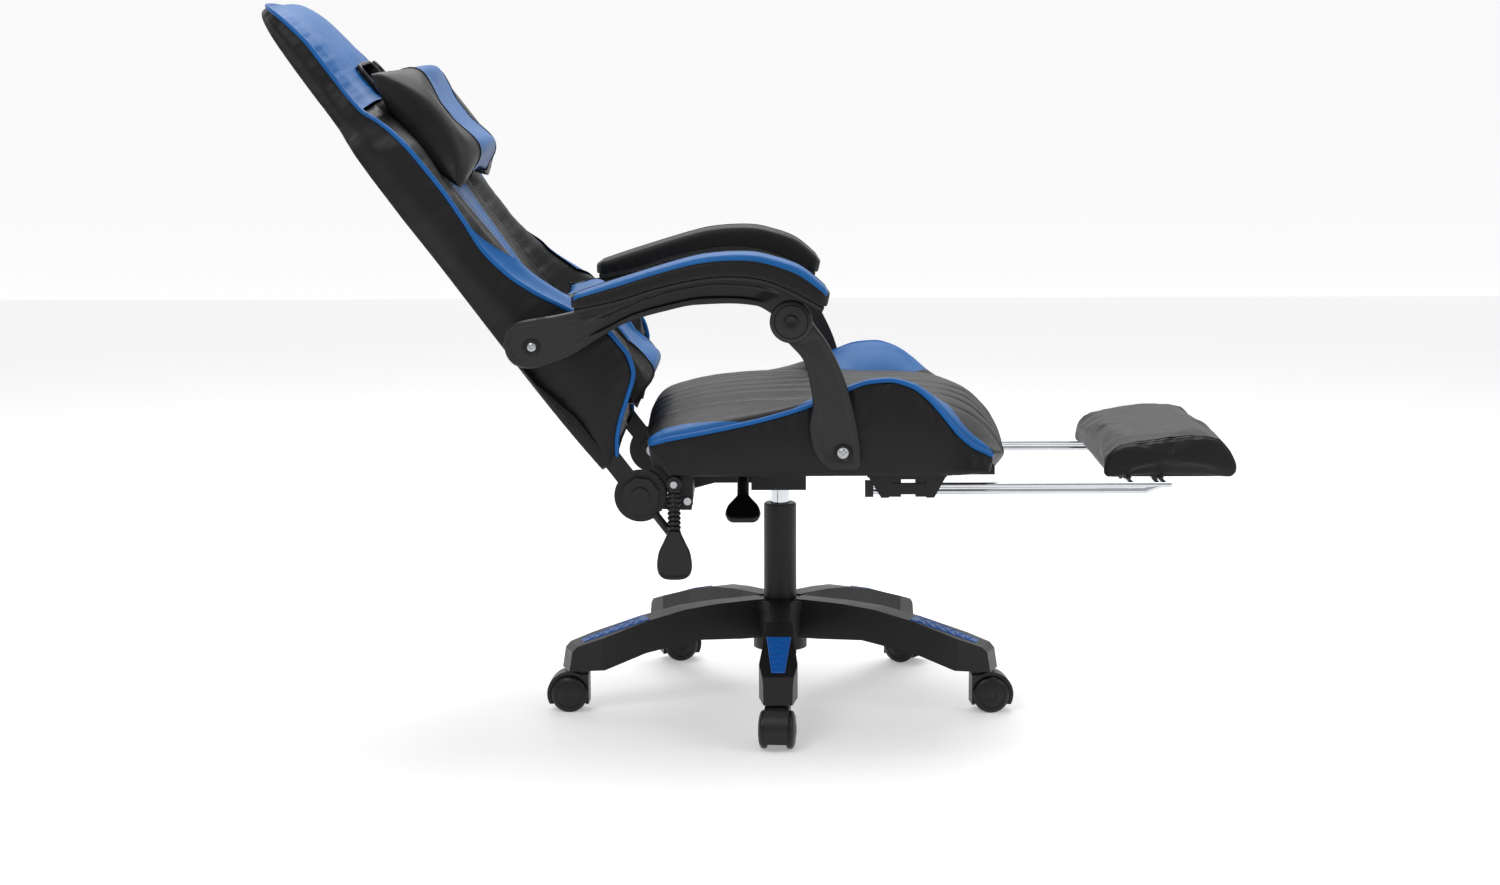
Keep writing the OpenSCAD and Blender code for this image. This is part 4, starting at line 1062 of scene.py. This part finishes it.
def ribbed_plate(shell, upper, lower, inner, outer, depth, pocket, mat, side, cols=33):
    """A moulded plate between two edge curves. Its outer face has a rounded border and a sunk pocket;
    pocket(s, v) is 1 where it is sunk, for s along and v across."""
    rows = len(upper)
    v = np.linspace(0, 1, cols)
    s = np.linspace(0, 1, rows)[:, None]
    base = upper[:, None] + (lower - upper)[:, None] * v[None, :, None]
    gap = np.minimum(np.linalg.norm(base - base[:, :1], axis=2), np.linalg.norm(base - base[:, -1:], axis=2))
    round_off = 0.0024 * (1 - np.sqrt(np.clip(1 - (1 - np.clip(gap / 0.0024, 0, 1)) ** 2, 0, 1)))
    y = outer - round_off - depth * pocket(s, v[None, :])
    front = np.stack([base[..., 0], y, base[..., 1]], -1)
    back = np.stack([base[..., 0], np.full(base.shape[:2], inner), base[..., 1]], -1)
    shell.grid(at_side(front[:, ::-1], side), mat)
    shell.grid(at_side(back, side), mat)
    for edge, turn in ((0, 1), (-1, -1)):
        wall = np.stack([front[:, edge], back[:, edge]], 1)
        shell.grid(at_side(wall[:, ::turn], side), mat)
    for row, turn in ((0, -1), (-1, 1)):
        wall = np.stack([front[row], back[row]], 1)
        shell.grid(at_side(wall[:, ::turn], side), mat)


def screw(shell, x, z, face, side, ring=0.0112):
    """A cap screw in a dark counterbore: raised lip, dark floor, domed head with a hexagonal socket."""
    turn = (0, side, 0)
    at = (x, side * face, z)
    lathe(shell, [(ring + 0.0016, 0.0), (ring + 0.0012, 0.0009), (ring, 0.0012), (ring - 0.0008, 0.0007),
                  (ring - 0.0012, 0.0002), (0.0, 0.0002)], at, turn, SMOOTH_BLACK, 36)
    lathe(shell, [(0.0062, 0.0002), (0.0061, 0.0016), (0.0050, 0.0025), (0.0034, 0.0027), (0.0030, 0.0010),
                  (0.0, 0.0009)], at, turn, ZINC, 24)


def make_arm_frame(side):
    """The moulded carrier: sunk web between two ribs, round rear lobe, hub disc and the tray of the pad."""
    rows = 150
    top, low = matched(FRAME_TOP, rows), matched(FRAME_LOW, rows)
    shell = Shell()

    def pocket(s, v):
        """Sunk between the ribs, wider towards the rear lobe."""
        ends = swelling(s, 0.44, 0.925, 0.05)
        wide = 0.20 + 0.12 * np.clip((0.62 - s) / 0.2, 0, 1)
        return swelling(v, wide, 0.78, 0.09) * ends

    ribbed_plate(shell, top, low, WEB_IN, WEB_OUT, 0.006, pocket, ARM_PLASTIC, side)
    # raised line that follows the rear lobe
    centre = np.array([-0.360, 0.579])
    lobe = np.vstack([[(-0.262, 0.619), (-0.300, 0.612), (-0.335, 0.608)],
                      centre + 0.026 * np.stack([np.cos(np.radians(np.linspace(100, 262, 24))),
                                                 np.sin(np.radians(np.linspace(100, 262, 24)))], 1),
                      [(-0.335, 0.556), (-0.305, 0.568), (-0.262, 0.594)]])
    lobe = even(lobe, 90)
    line = np.stack([lobe[:, 0], np.full(len(lobe), side * (WEB_OUT - 0.0002)), lobe[:, 1]], 1)
    add_tube(shell, line, 0.0009, ARM_PLASTIC, 8)
    # spacer behind the rear bolt, hub disc over the post, and its cap
    lathe(shell, [(0.0, POST_IN), (0.0295, POST_IN), (0.0300, POST_IN + 0.001), (0.0300, WEB_IN + 0.0005)],
          (ARM_REAR[0], 0, ARM_REAR[2]), (0, side, 0), ARM_PLASTIC, 56)
    hub = (KNUCKLE[0], 0, KNUCKLE[2])
    lathe(shell, [(0.0, WEB_IN + 0.0002), (0.0290, WEB_IN), (0.0303, WEB_IN + 0.0012),
                  (0.0305, HUB_OUT - 0.003), (0.0297, HUB_OUT - 0.0010), (0.0280, HUB_OUT),
                  (0.0245, HUB_OUT + 0.0002), (0.0238, HUB_OUT - 0.0008), (0.0230, HUB_OUT + 0.0002),
                  (0.0120, HUB_OUT + 0.0004), (0.0, HUB_OUT + 0.0004)],
          hub, (0, side, 0), ARM_PLASTIC, 72)
    lathe(shell, [(0.0100, HUB_OUT), (0.0100, CAP_OUT - 0.0012), (0.0092, CAP_OUT - 0.0002),
                  (0.0080, CAP_OUT), (0.0060, CAP_OUT - 0.0010), (0.0, CAP_OUT - 0.0014)],
          hub, (0, side, 0), SMOOTH_BLACK, 48)
    screw(shell, ARM_REAR[0], ARM_REAR[2], WEB_OUT, side)
    # tray under the pad, with a rolled edge
    base = flat_points(PAD_BASE, 110)
    up = np.gradient(base, axis=0)
    up = np.stack([-up[:, 1], up[:, 0]], 1)
    up /= np.linalg.norm(up, axis=1, keepdims=True)
    ring = np.array([(0.0, 0.0), (0.5, 0.0), (0.96, 0.0), (1.0, -0.0015), (1.0, -0.0052), (0.97, -0.007),
                     (0.5, -0.007), (0.03, -0.007), (0.0, -0.0052), (0.0, -0.0015)])
    y = (ARM_IN + 0.002) + ring[:, 0] * (ARM_OUT - ARM_IN - 0.006)
    pts = np.stack([base[:, None, 0] + up[:, None, 0] * ring[None, :, 1],
                    np.broadcast_to(y, (110, len(ring))),
                    base[:, None, 1] + up[:, None, 1] * ring[None, :, 1]], -1)
    start = shell.count
    shell.grid(at_side(pts, side), ARM_PLASTIC, wrap=True)
    n = len(ring)
    last = start + 109 * n
    ends = [list(range(start, start + n)), list(range(last, last + n))[::-1]]
    shell.add(np.zeros((0, 3)), ends, ARM_PLASTIC)
    name = "left" if side > 0 else "right"
    obj = smooth_by_angle(shell.build("armrest_carrier_" + name, merge=0.00003), 42)
    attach(obj, "armrest_" + name)
    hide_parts("arm_frame_" + name, "arm_cap_" + name)


def make_arm_pad(side):
    """Padded armrest: a black cover with a blue strip sewn along its outer top edge."""
    rows = 130
    low, high = flat_points(PAD_BASE, rows), flat_points(PAD_TOP, rows)
    # section: distance across (0 at the inner face), height, for the black wall, blue strip and black top
    section = np.array([(0.985, 0.0), (1.0, 0.16), (1.0, 0.40), (0.998, 0.60), (0.975, 0.80), (0.91, 0.93),
                        (0.78, 0.985), (0.60, 1.0), (0.40, 1.0), (0.22, 0.985), (0.09, 0.93), (0.025, 0.80),
                        (0.002, 0.60), (0.0, 0.35), (0.012, 0.0)])
    fine = rounded_curve(section * [ARM_OUT - ARM_IN, 0.036], 90) / [ARM_OUT - ARM_IN, 0.036]
    along = np.linspace(0, 1, rows)
    length = 0.36
    gap = np.minimum(along, 1 - along) * length
    tip = np.sqrt(np.clip(1 - (1 - np.clip(gap / 0.012, 0, 1)) ** 2, 0, 1))
    shrink = 0.80 + 0.20 * tip
    mid = (low + high) / 2
    pts = np.empty((rows, len(fine), 3))
    w = 0.5 + (fine[None, :, 0] - 0.5) * shrink[:, None]
    h = 0.45 + (fine[None, :, 1] - 0.45) * shrink[:, None]
    pts[..., 1] = ARM_IN + w * (ARM_OUT - ARM_IN)
    pts[..., 0] = low[:, None, 0] + (high - low)[:, None, 0] * h
    pts[..., 2] = low[:, None, 1] + (high - low)[:, None, 1] * h
    nrm = normals(pts)
    run = along[:, None] * length
    ends = np.clip(gap / 0.02, 0, 1)[:, None]
    near_base = np.exp(-np.abs(fine[None, :, 1]) / 0.22)
    pucker = 0.0008 * near_base * waver(run * 2 * np.pi / 0.018, 2.0 + side) * ends
    dent = 0.0012 * np.exp(-((fine[None, :, 1] - 0.62) / 0.04) ** 2) * (fine[None, :, 0] > 0.5)
    centre = pts.mean(axis=1, keepdims=True)
    sign = np.sign(np.sum(nrm * (pts - centre), axis=2, keepdims=True).mean())
    pts = pts + sign * nrm * (pucker - dent)[..., None]
    split = int(np.argmax((fine[:, 1] > 0.62) & (fine[:, 0] > 0.5)))
    stop = int(np.argmax((fine[:, 1] > 0.9) & (fine[:, 0] < 0.52)))
    shell = Shell()
    shell.grid(at_side(pts[:, :split + 1], side), BLACK)
    shell.grid(at_side(pts[:, split:stop + 1], side), BLUE)
    shell.grid(at_side(pts[:, stop:], side), BLACK)
    floor = np.stack([pts[:, -1], (pts[:, -1] + pts[:, 0]) / 2, pts[:, 0]], 1)
    shell.grid(at_side(floor, side), BLACK)
    # rounded ends: rings that close on the middle of the section
    loop = np.concatenate([pts, floor[:, 1:2]], axis=1)
    for row, inward in ((0, 1), (-1, -2)):
        ring = loop[row]
        centre = ring.mean(axis=0)
        direction = mid[row] - mid[inward]
        direction = np.array([direction[0], 0, direction[1]]) / np.linalg.norm(direction)
        k = np.array([1.0, 0.93, 0.80, 0.60, 0.35, 0.001])
        out = np.array([0.0, 0.0022, 0.0036, 0.0043, 0.0046, 0.0047])
        cap = centre + (ring - centre)[None] * k[:, None, None] + direction * out[:, None, None]
        shell.grid(at_side(cap, side), BLACK, wrap=True)
    for col in (split, stop):
        seam = even(pts[2:-2, col] + sign * nrm[2:-2, col] * 0.0002, 150)
        add_tube(shell, seam * [1, side, 1], 0.0007, THREAD, 6)
    name = "left" if side > 0 else "right"
    obj = shell.build("armrest_pad_" + name, merge=0.00005)
    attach(obj, "armrest_" + name)
    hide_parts("arm_pad_" + name)


def make_post(side):
    """The linked post: a flat moulding with a raised border and a shallow field, bolted to the seat."""
    rows = 120
    rear, front = matched(POST_REAR, rows), matched(POST_FRONT, rows)
    shell = Shell()

    def pocket(s, v):
        """Sunk inside the border, from below the knuckle to above the foot."""
        return swelling(v, 0.17, 0.88, 0.07) * swelling(s, 0.30, 0.915, 0.06)

    ribbed_plate(shell, rear, front, POST_IN, POST_OUT, 0.0022, pocket, ARM_PLASTIC, side, 37)
    screw(shell, POST_FOOT[0], POST_FOOT[2], POST_OUT + 0.0001, side)
    name = "left" if side > 0 else "right"
    obj = smooth_by_angle(shell.build("armrest_post_" + name, merge=0.00003), 42)
    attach(obj, "post_" + name)
    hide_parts("post_" + name)


for side in (1, -1):
    make_arm_frame(side)
    make_arm_pad(side)
    make_post(side)

# ---------------------------------------------------------------- footrest cushion

REST_LOW, REST_HIGH = (np.array(c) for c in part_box("footrest_cushion"))
REST_OUTLINE = [(0.489, 0.3705), (0.474, 0.374), (0.473, 0.386), (0.486, 0.412), (0.530, 0.4225),
                (0.590, 0.429), (0.638, 0.4275), (0.655, 0.413), (0.669, 0.388), (0.667, 0.375),
                (0.659, 0.3705)]


def make_footrest():
    """A boxed cushion: one long panel round its profile, and a puffed panel at each end."""
    n = 84
    top = rounded_curve(REST_OUTLINE, n - 12)
    floor = np.linspace(top[-1], top[0], 14)[1:-1]
    ring = np.vstack([top, floor])
    centre = np.array([0.57, 0.398])
    half = REST_HIGH[1] - 0.005
    across = np.concatenate([[-1.0, -0.992, -0.975, -0.94], np.linspace(-0.88, 0.88, 45),
                             [0.94, 0.975, 0.992, 1.0]])
    pull = 1 - 0.030 * np.clip((np.abs(across) - 0.94) / 0.06, 0, 1) ** 2
    pts = np.empty((len(across), len(ring), 3))
    offset = (ring - centre)[None] * pull[:, None, None]
    pts[..., 0] = centre[0] + offset[..., 0]
    pts[..., 1] = (across * half)[:, None]
    pts[..., 2] = np.maximum(centre[1] + offset[..., 1], 0.3705)
    shell = Shell()
    shell.grid(pts[:, ::-1], BLACK, wrap=True)
    k = np.array([1.0, 0.97, 0.90, 0.78, 0.62, 0.44, 0.24, 0.001])
    puff = np.array([0.0, 0.0012, 0.0026, 0.0038, 0.0046, 0.0050, 0.0052, 0.0052])
    for row, sign in ((0, -1), (-1, 1)):
        middle = np.array([centre[0], 0, centre[1]])
        edge = pts[row] * [1, 0, 1]
        cap = middle + (edge - middle)[None] * k[:, None, None]
        cap[..., 1] = (sign * (half + puff))[:, None]
        shell.grid(cap if sign < 0 else cap[:, ::-1], BLACK, wrap=True)
    obj = shell.build("footrest_upholstery", merge=0.00004)
    swell(obj, 3.0, 12, 0.005)
    co = coords(obj)
    co[:, 2] = np.maximum(co[:, 2], 0.3702)
    co[:, 1] = np.clip(co[:, 1], REST_LOW[1] - 0.004, REST_HIGH[1] + 0.004)
    # shallow creases beside the end seams
    gap = np.abs(np.abs(co[:, 1]) - half)
    crease = 0.0007 * np.exp(-gap / 0.03) * waver(co[:, 0] * 2 * np.pi / 0.024, 3.0) * (co[:, 2] > 0.40)
    co[:, 2] += crease
    set_coords(obj, co)
    subdivided(obj)
    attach(obj, "footrest")
    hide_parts("footrest_cushion")
    seam = Shell()
    cover = BVHTree.FromPolygons(co.tolist(), [tuple(f.vertices) for f in obj.data.polygons])
    for sign in (-1, 1):
        row = 2 if sign < 0 else -3
        top_run = even(pts[row, 2:n - 14], 160)
        for inset in (0.004, 0.010):
            top_run[:, 1] = sign * (half - inset)
            laid = np.array([list(cover.find_nearest(p)[0]) for p in top_run])
            out = laid - [centre[0], 0, centre[1]]
            out[:, 1] = 0
            laid += out / np.linalg.norm(out, axis=1, keepdims=True) * 0.0002
            add_tube(seam, even(laid, 160), 0.0006, THREAD, 6)
    seams = seam.build("footrest_seams", merge=0)
    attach(seams, "footrest")


make_footrest()

# ---------------------------------------------------------------- base inlays, wheels and levers

def make_inlays():
    """Blue tiles let into the arms: raised border and a row of embossed chevrons that point outwards."""
    shell = Shell()
    reach = np.linalg.norm(np.array(joints["caster_1_swivel"]["pos_m"][:2]))
    r = np.linspace(reach - 0.103, reach - 0.002, 90)[:, None]
    side = np.linspace(-1, 1, 45)[None, :]
    half = 0.018 - 0.008 * (r - r[0]) / (r[-1] - r[0])
    w = side * half
    slope = 0.1392 - 0.3 * (r - (reach - 0.110))
    edge = np.minimum.reduce([np.abs(half) - np.abs(w), r - r[0] + 0 * w, r[-1] - r + 0 * w])
    border = 1 - swelling(edge, 0.0016, 9.0, 0.0006)
    phase = np.mod((r - r[0]) - 0.75 * np.abs(w), 0.0155)
    chevron = swelling(phase, 0.003, 0.0105, 0.0009) * swelling(edge, 0.0042, 9.0, 0.0010)
    chevron = chevron * swelling(r - r[0], 0.008, 0.094, 0.004)
    height = 0.0006 * border + 0.0011 * chevron - 0.0004
    corner = np.clip(1 - edge / 0.0012, 0, 1) ** 2 * 0.0010
    z = slope + height - corner
    skirt_low = slope - 0.0032
    for caster in range(1, 6):
        x, y = joints[f"caster_{caster}_swivel"]["pos_m"][:2]
        a = math.atan2(y, x)
        turn = np.array([[math.cos(a), math.sin(a), 0], [-math.sin(a), math.cos(a), 0], [0, 0, 1]])
        top = np.stack([r + 0 * w, w, z], -1) @ turn
        low = np.stack([r + 0 * w, w, skirt_low + 0 * w], -1) @ turn
        shell.grid(top, INLAY)
        shell.grid(low[:, ::-1], INLAY)
        for a_edge, b_edge in ((top[:, 0], low[:, 0]), (low[:, -1], top[:, -1]),
                               (low[0], top[0]), (top[-1], low[-1])):
            shell.grid(np.stack([a_edge, b_edge], 1), INLAY)
    obj = smooth_by_angle(shell.build("base_arm_inlays", merge=0.00002), 50)
    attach(obj, "base")
    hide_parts("base_inlays")


def make_wheels(number):
    """Twin caster wheels: moulded treads with domed faces, a hub button each, and the axle between."""
    joint = joints[f"wheels_{number}_spin"]
    centre, axis = np.array(joint["pos_m"]), np.array(joint["axis"], float)
    shell = Shell()
    r = centre[2]
    for sign in (1, -1):
        lathe(shell, [(0.0, 0.0132), (r - 0.006, 0.0132), (r - 0.0025, 0.0140), (r - 0.0004, 0.0155),
                      (r, 0.0175), (r, 0.0205), (r - 0.0008, 0.0225), (r - 0.0035, 0.0245),
                      (r - 0.0075, 0.0258), (r - 0.0080, 0.0250), (r - 0.0090, 0.0252),
                      (r - 0.0130, 0.0266), (0.0075, 0.0272), (0.0070, 0.0264), (0.0050, 0.0262),
                      (0.0, 0.0264)], centre, axis * sign, WHEEL, 56)
    lathe(shell, [(0.004, -0.0170), (0.004, 0.0170)], centre, axis, SMOOTH_BLACK, 20)
    obj = smooth_by_angle(shell.build(f"caster_wheel_pair_{number}", merge=0.00002), 40)
    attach(obj, f"wheels_{number}")
    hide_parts(f"caster_wheels_{number}")


def lever_grip(name, node, body, origin, tilt, stem_l, stem_w, paddle_l, paddle_w, hub):
    """A stem in a coiled sleeve and a shield-shaped paddle with domed faces and a raised edge.
    It hangs down from the origin, turned by tilt about X."""
    shell = Shell()
    c, s = math.cos(tilt), math.sin(tilt)
    turn = np.array([[1, 0, 0], [0, c, s], [0, -s, c]])
    z = np.linspace(-0.002, -stem_l + 0.002, int(stem_l / 0.0007))
    radius = stem_w / 2 - 0.0022 + 0.0026 * np.abs(np.sin(np.pi * z / 0.0068)) ** 0.8
    profile = np.stack([np.concatenate([[0.0005], radius, [0.0005]]),
                        np.concatenate([[z[0]], z, [z[-1]]])], 1)
    a = np.linspace(0, 2 * np.pi, 32, endpoint=False)
    g = np.stack([profile[:, 0, None] * np.cos(a), profile[:, 0, None] * np.sin(a),
                  np.broadcast_to(profile[:, 1, None], (len(profile), 32))], -1)
    shell.grid(g @ turn + origin, SMOOTH_BLACK, wrap=True)
    t = np.linspace(0, 1, 48)
    half = through([(0.0, 0.16), (0.08, 0.19), (0.25, 0.30), (0.50, 0.455), (0.72, 0.495), (0.86, 0.46),
                    (0.95, 0.36), (0.985, 0.24), (1.0, 0.10)], t)[:, 0] * paddle_w
    v = np.linspace(-1, 1, 33)
    x = half[:, None] * v[None]
    zz = (-stem_l + 0.006 - t * (paddle_l + 0.006))[:, None] + 0 * v[None]
    rim = np.minimum((1 - np.abs(v))[None] * half[:, None], (1 - t)[:, None] * paddle_l)
    fat = 0.0048 * np.clip(1 - (1 - np.clip(rim / 0.004, 0, 1)) ** 2, 0, 1) ** 0.5
    fat -= 0.0010 * swelling(rim, 0.0050, 9.0, 0.0012)
    for sign in (1, -1):
        face = np.stack([x, sign * fat, zz], -1)
        if sign > 0:
            face = face[:, ::-1]
        shell.grid(face @ turn + origin, SMOOTH_BLACK)
    if hub:
        lathe(shell, [(0.0105, -0.009), (0.0112, -0.008), (0.0112, 0.008), (0.0105, 0.009), (0.0, 0.009)],
              origin, (0, 1, 0), SMOOTH_BLACK, 40)
        lathe(shell, [(0.0, -0.009), (0.0105, -0.009)], origin, (0, 1, 0), SMOOTH_BLACK, 40)
    obj = smooth_by_angle(shell.build(name, merge=0.00003), 50)
    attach(obj, body)
    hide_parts(node)


make_inlays()
for number in range(1, 6):
    make_wheels(number)
lever_grip("height_lever_grip", "lift_grip", "lift_lever", np.array([-0.056, -0.086, 0.362]),
            math.radians(-62),
           0.062, 0.017, 0.058, 0.053, False)
lever_grip("recline_lever_grip", "recline_grip", "recline_lever", np.array([-0.155, -0.253, 0.372]), 0.0,
           0.072, 0.019, 0.070, 0.052, True)


# ---------------------------------------------------------------- finishes of the frame's own nodes

def finish_nodes():
    """Gives every frame node that still shows the finish of its record slot."""
    finishes = {"black_nylon": NYLON, "blue_plastic": INLAY, "painted_steel": COAT,
                "slide_plastic": SMOOTH_BLACK, "wheel_plastic": WHEEL, "chrome": CHROME,
                "bright_steel": ZINC, "plywood": WOOD, "black_leather": BLACK, "blue_leather": BLUE,
                "arm_plastic": ARM_PLASTIC, "clip_steel": SMOOTH_BLACK}
    slots = {p["node"]: p["material_slot"] for p in frame["record"]["subparts"]}
    for name, obj in frame["nodes"].items():
        for slot in obj.material_slots:
            slot.material = finishes[slots[name]]


finish_nodes()

# ---------------------------------------------------------------- floor, light and camera

def soft_light(name, place, target, size, power):
    """A square soft box that faces the target."""
    data = bpy.data.lights.new(name, "AREA")
    data.size = size
    data.energy = power
    lamp = bpy.data.objects.new(name, data)
    bpy.context.scene.collection.objects.link(lamp)
    lamp.location = place
    away = np.array(place) - np.array(target)
    lamp.rotation_euler = (math.atan2(math.hypot(away[0], away[1]), away[2]), 0.0,
                           math.atan2(away[0], -away[1]))
    return lamp


def make_studio():
    """A pale floor that rises into a glowing white backdrop far behind, and three soft boxes."""
    floor_mat, tree, bsdf, where = material("pale_studio_floor",
                                            **{"Roughness": 0.6, "Emission Strength": 0.30})
    bsdf.inputs["Emission Color"].default_value = (1.0, 1.0, 1.0, 1.0)
    tree.links.new(two_tone(tree, where, 0.8, "e6e6e8", "ececee"), bsdf.inputs["Base Color"])
    half = 14.0
    floor = mesh_object("floor", [(-half, -half, 0), (half, -half, 0), (half, 7.0, 0), (-half, 7.0, 0)],
                        [(0, 1, 2, 3)], [floor_mat])
    paper, tree, bsdf, where = material("white_backdrop_paper",
                                        **{"Roughness": 0.8, "Emission Strength": 0.93})
    bsdf.inputs["Emission Color"].default_value = (1.0, 1.0, 1.0, 1.0)
    bsdf.inputs["Base Color"].default_value = linear("101010")
    bend = np.radians(np.linspace(0, 90, 24))
    profile = np.vstack([np.stack([7.0 + 2.0 * np.sin(bend), 2.0 - 2.0 * np.cos(bend)], 1), [[9.0, 12.0]]])
    x = np.linspace(-half, half, 3)[:, None]
    grid = np.stack([x + 0 * profile[None, :, 0], profile[None, :, 0] + 0 * x,
                     profile[None, :, 1] + 0 * x], -1)
    backdrop = Shell().grid(grid, paper).build("backdrop", merge=0)
    world = bpy.data.worlds.new("studio")
    bpy.context.scene.world = world
    world.use_nodes = True
    background = world.node_tree.nodes["Background"]
    background.inputs["Color"].default_value = (1.0, 1.0, 1.0, 1.0)
    background.inputs["Strength"].default_value = 0.50
    soft_light("key", (-1.4, -2.4, 3.2), (0.0, 0.0, 0.5), 1.6, 34)
    soft_light("fill", (2.8, -1.6, 2.2), (0.1, 0.0, 0.5), 1.6, 16)
    soft_light("top", (-0.1, 1.2, 3.1), (0.0, 0.0, 0.5), 2.4, 78)


def make_camera():
    """Level with the headrest, 4.2 m to the sitter's right, looking slightly down."""
    data = bpy.data.cameras.new("camera")
    data.lens = 66.1
    data.sensor_width = 36.0
    data.clip_end = 60
    camera = bpy.data.objects.new("camera", data)
    bpy.context.scene.collection.objects.link(camera)
    camera.location = (-0.0298, -4.1809, 0.98614)
    camera.rotation_euler = (math.pi / 2 - 0.14034, 0.00325, 0.0034)
    bpy.context.scene.camera = camera


make_studio()
make_camera()
bpy.context.scene.view_settings.view_transform = "Standard"
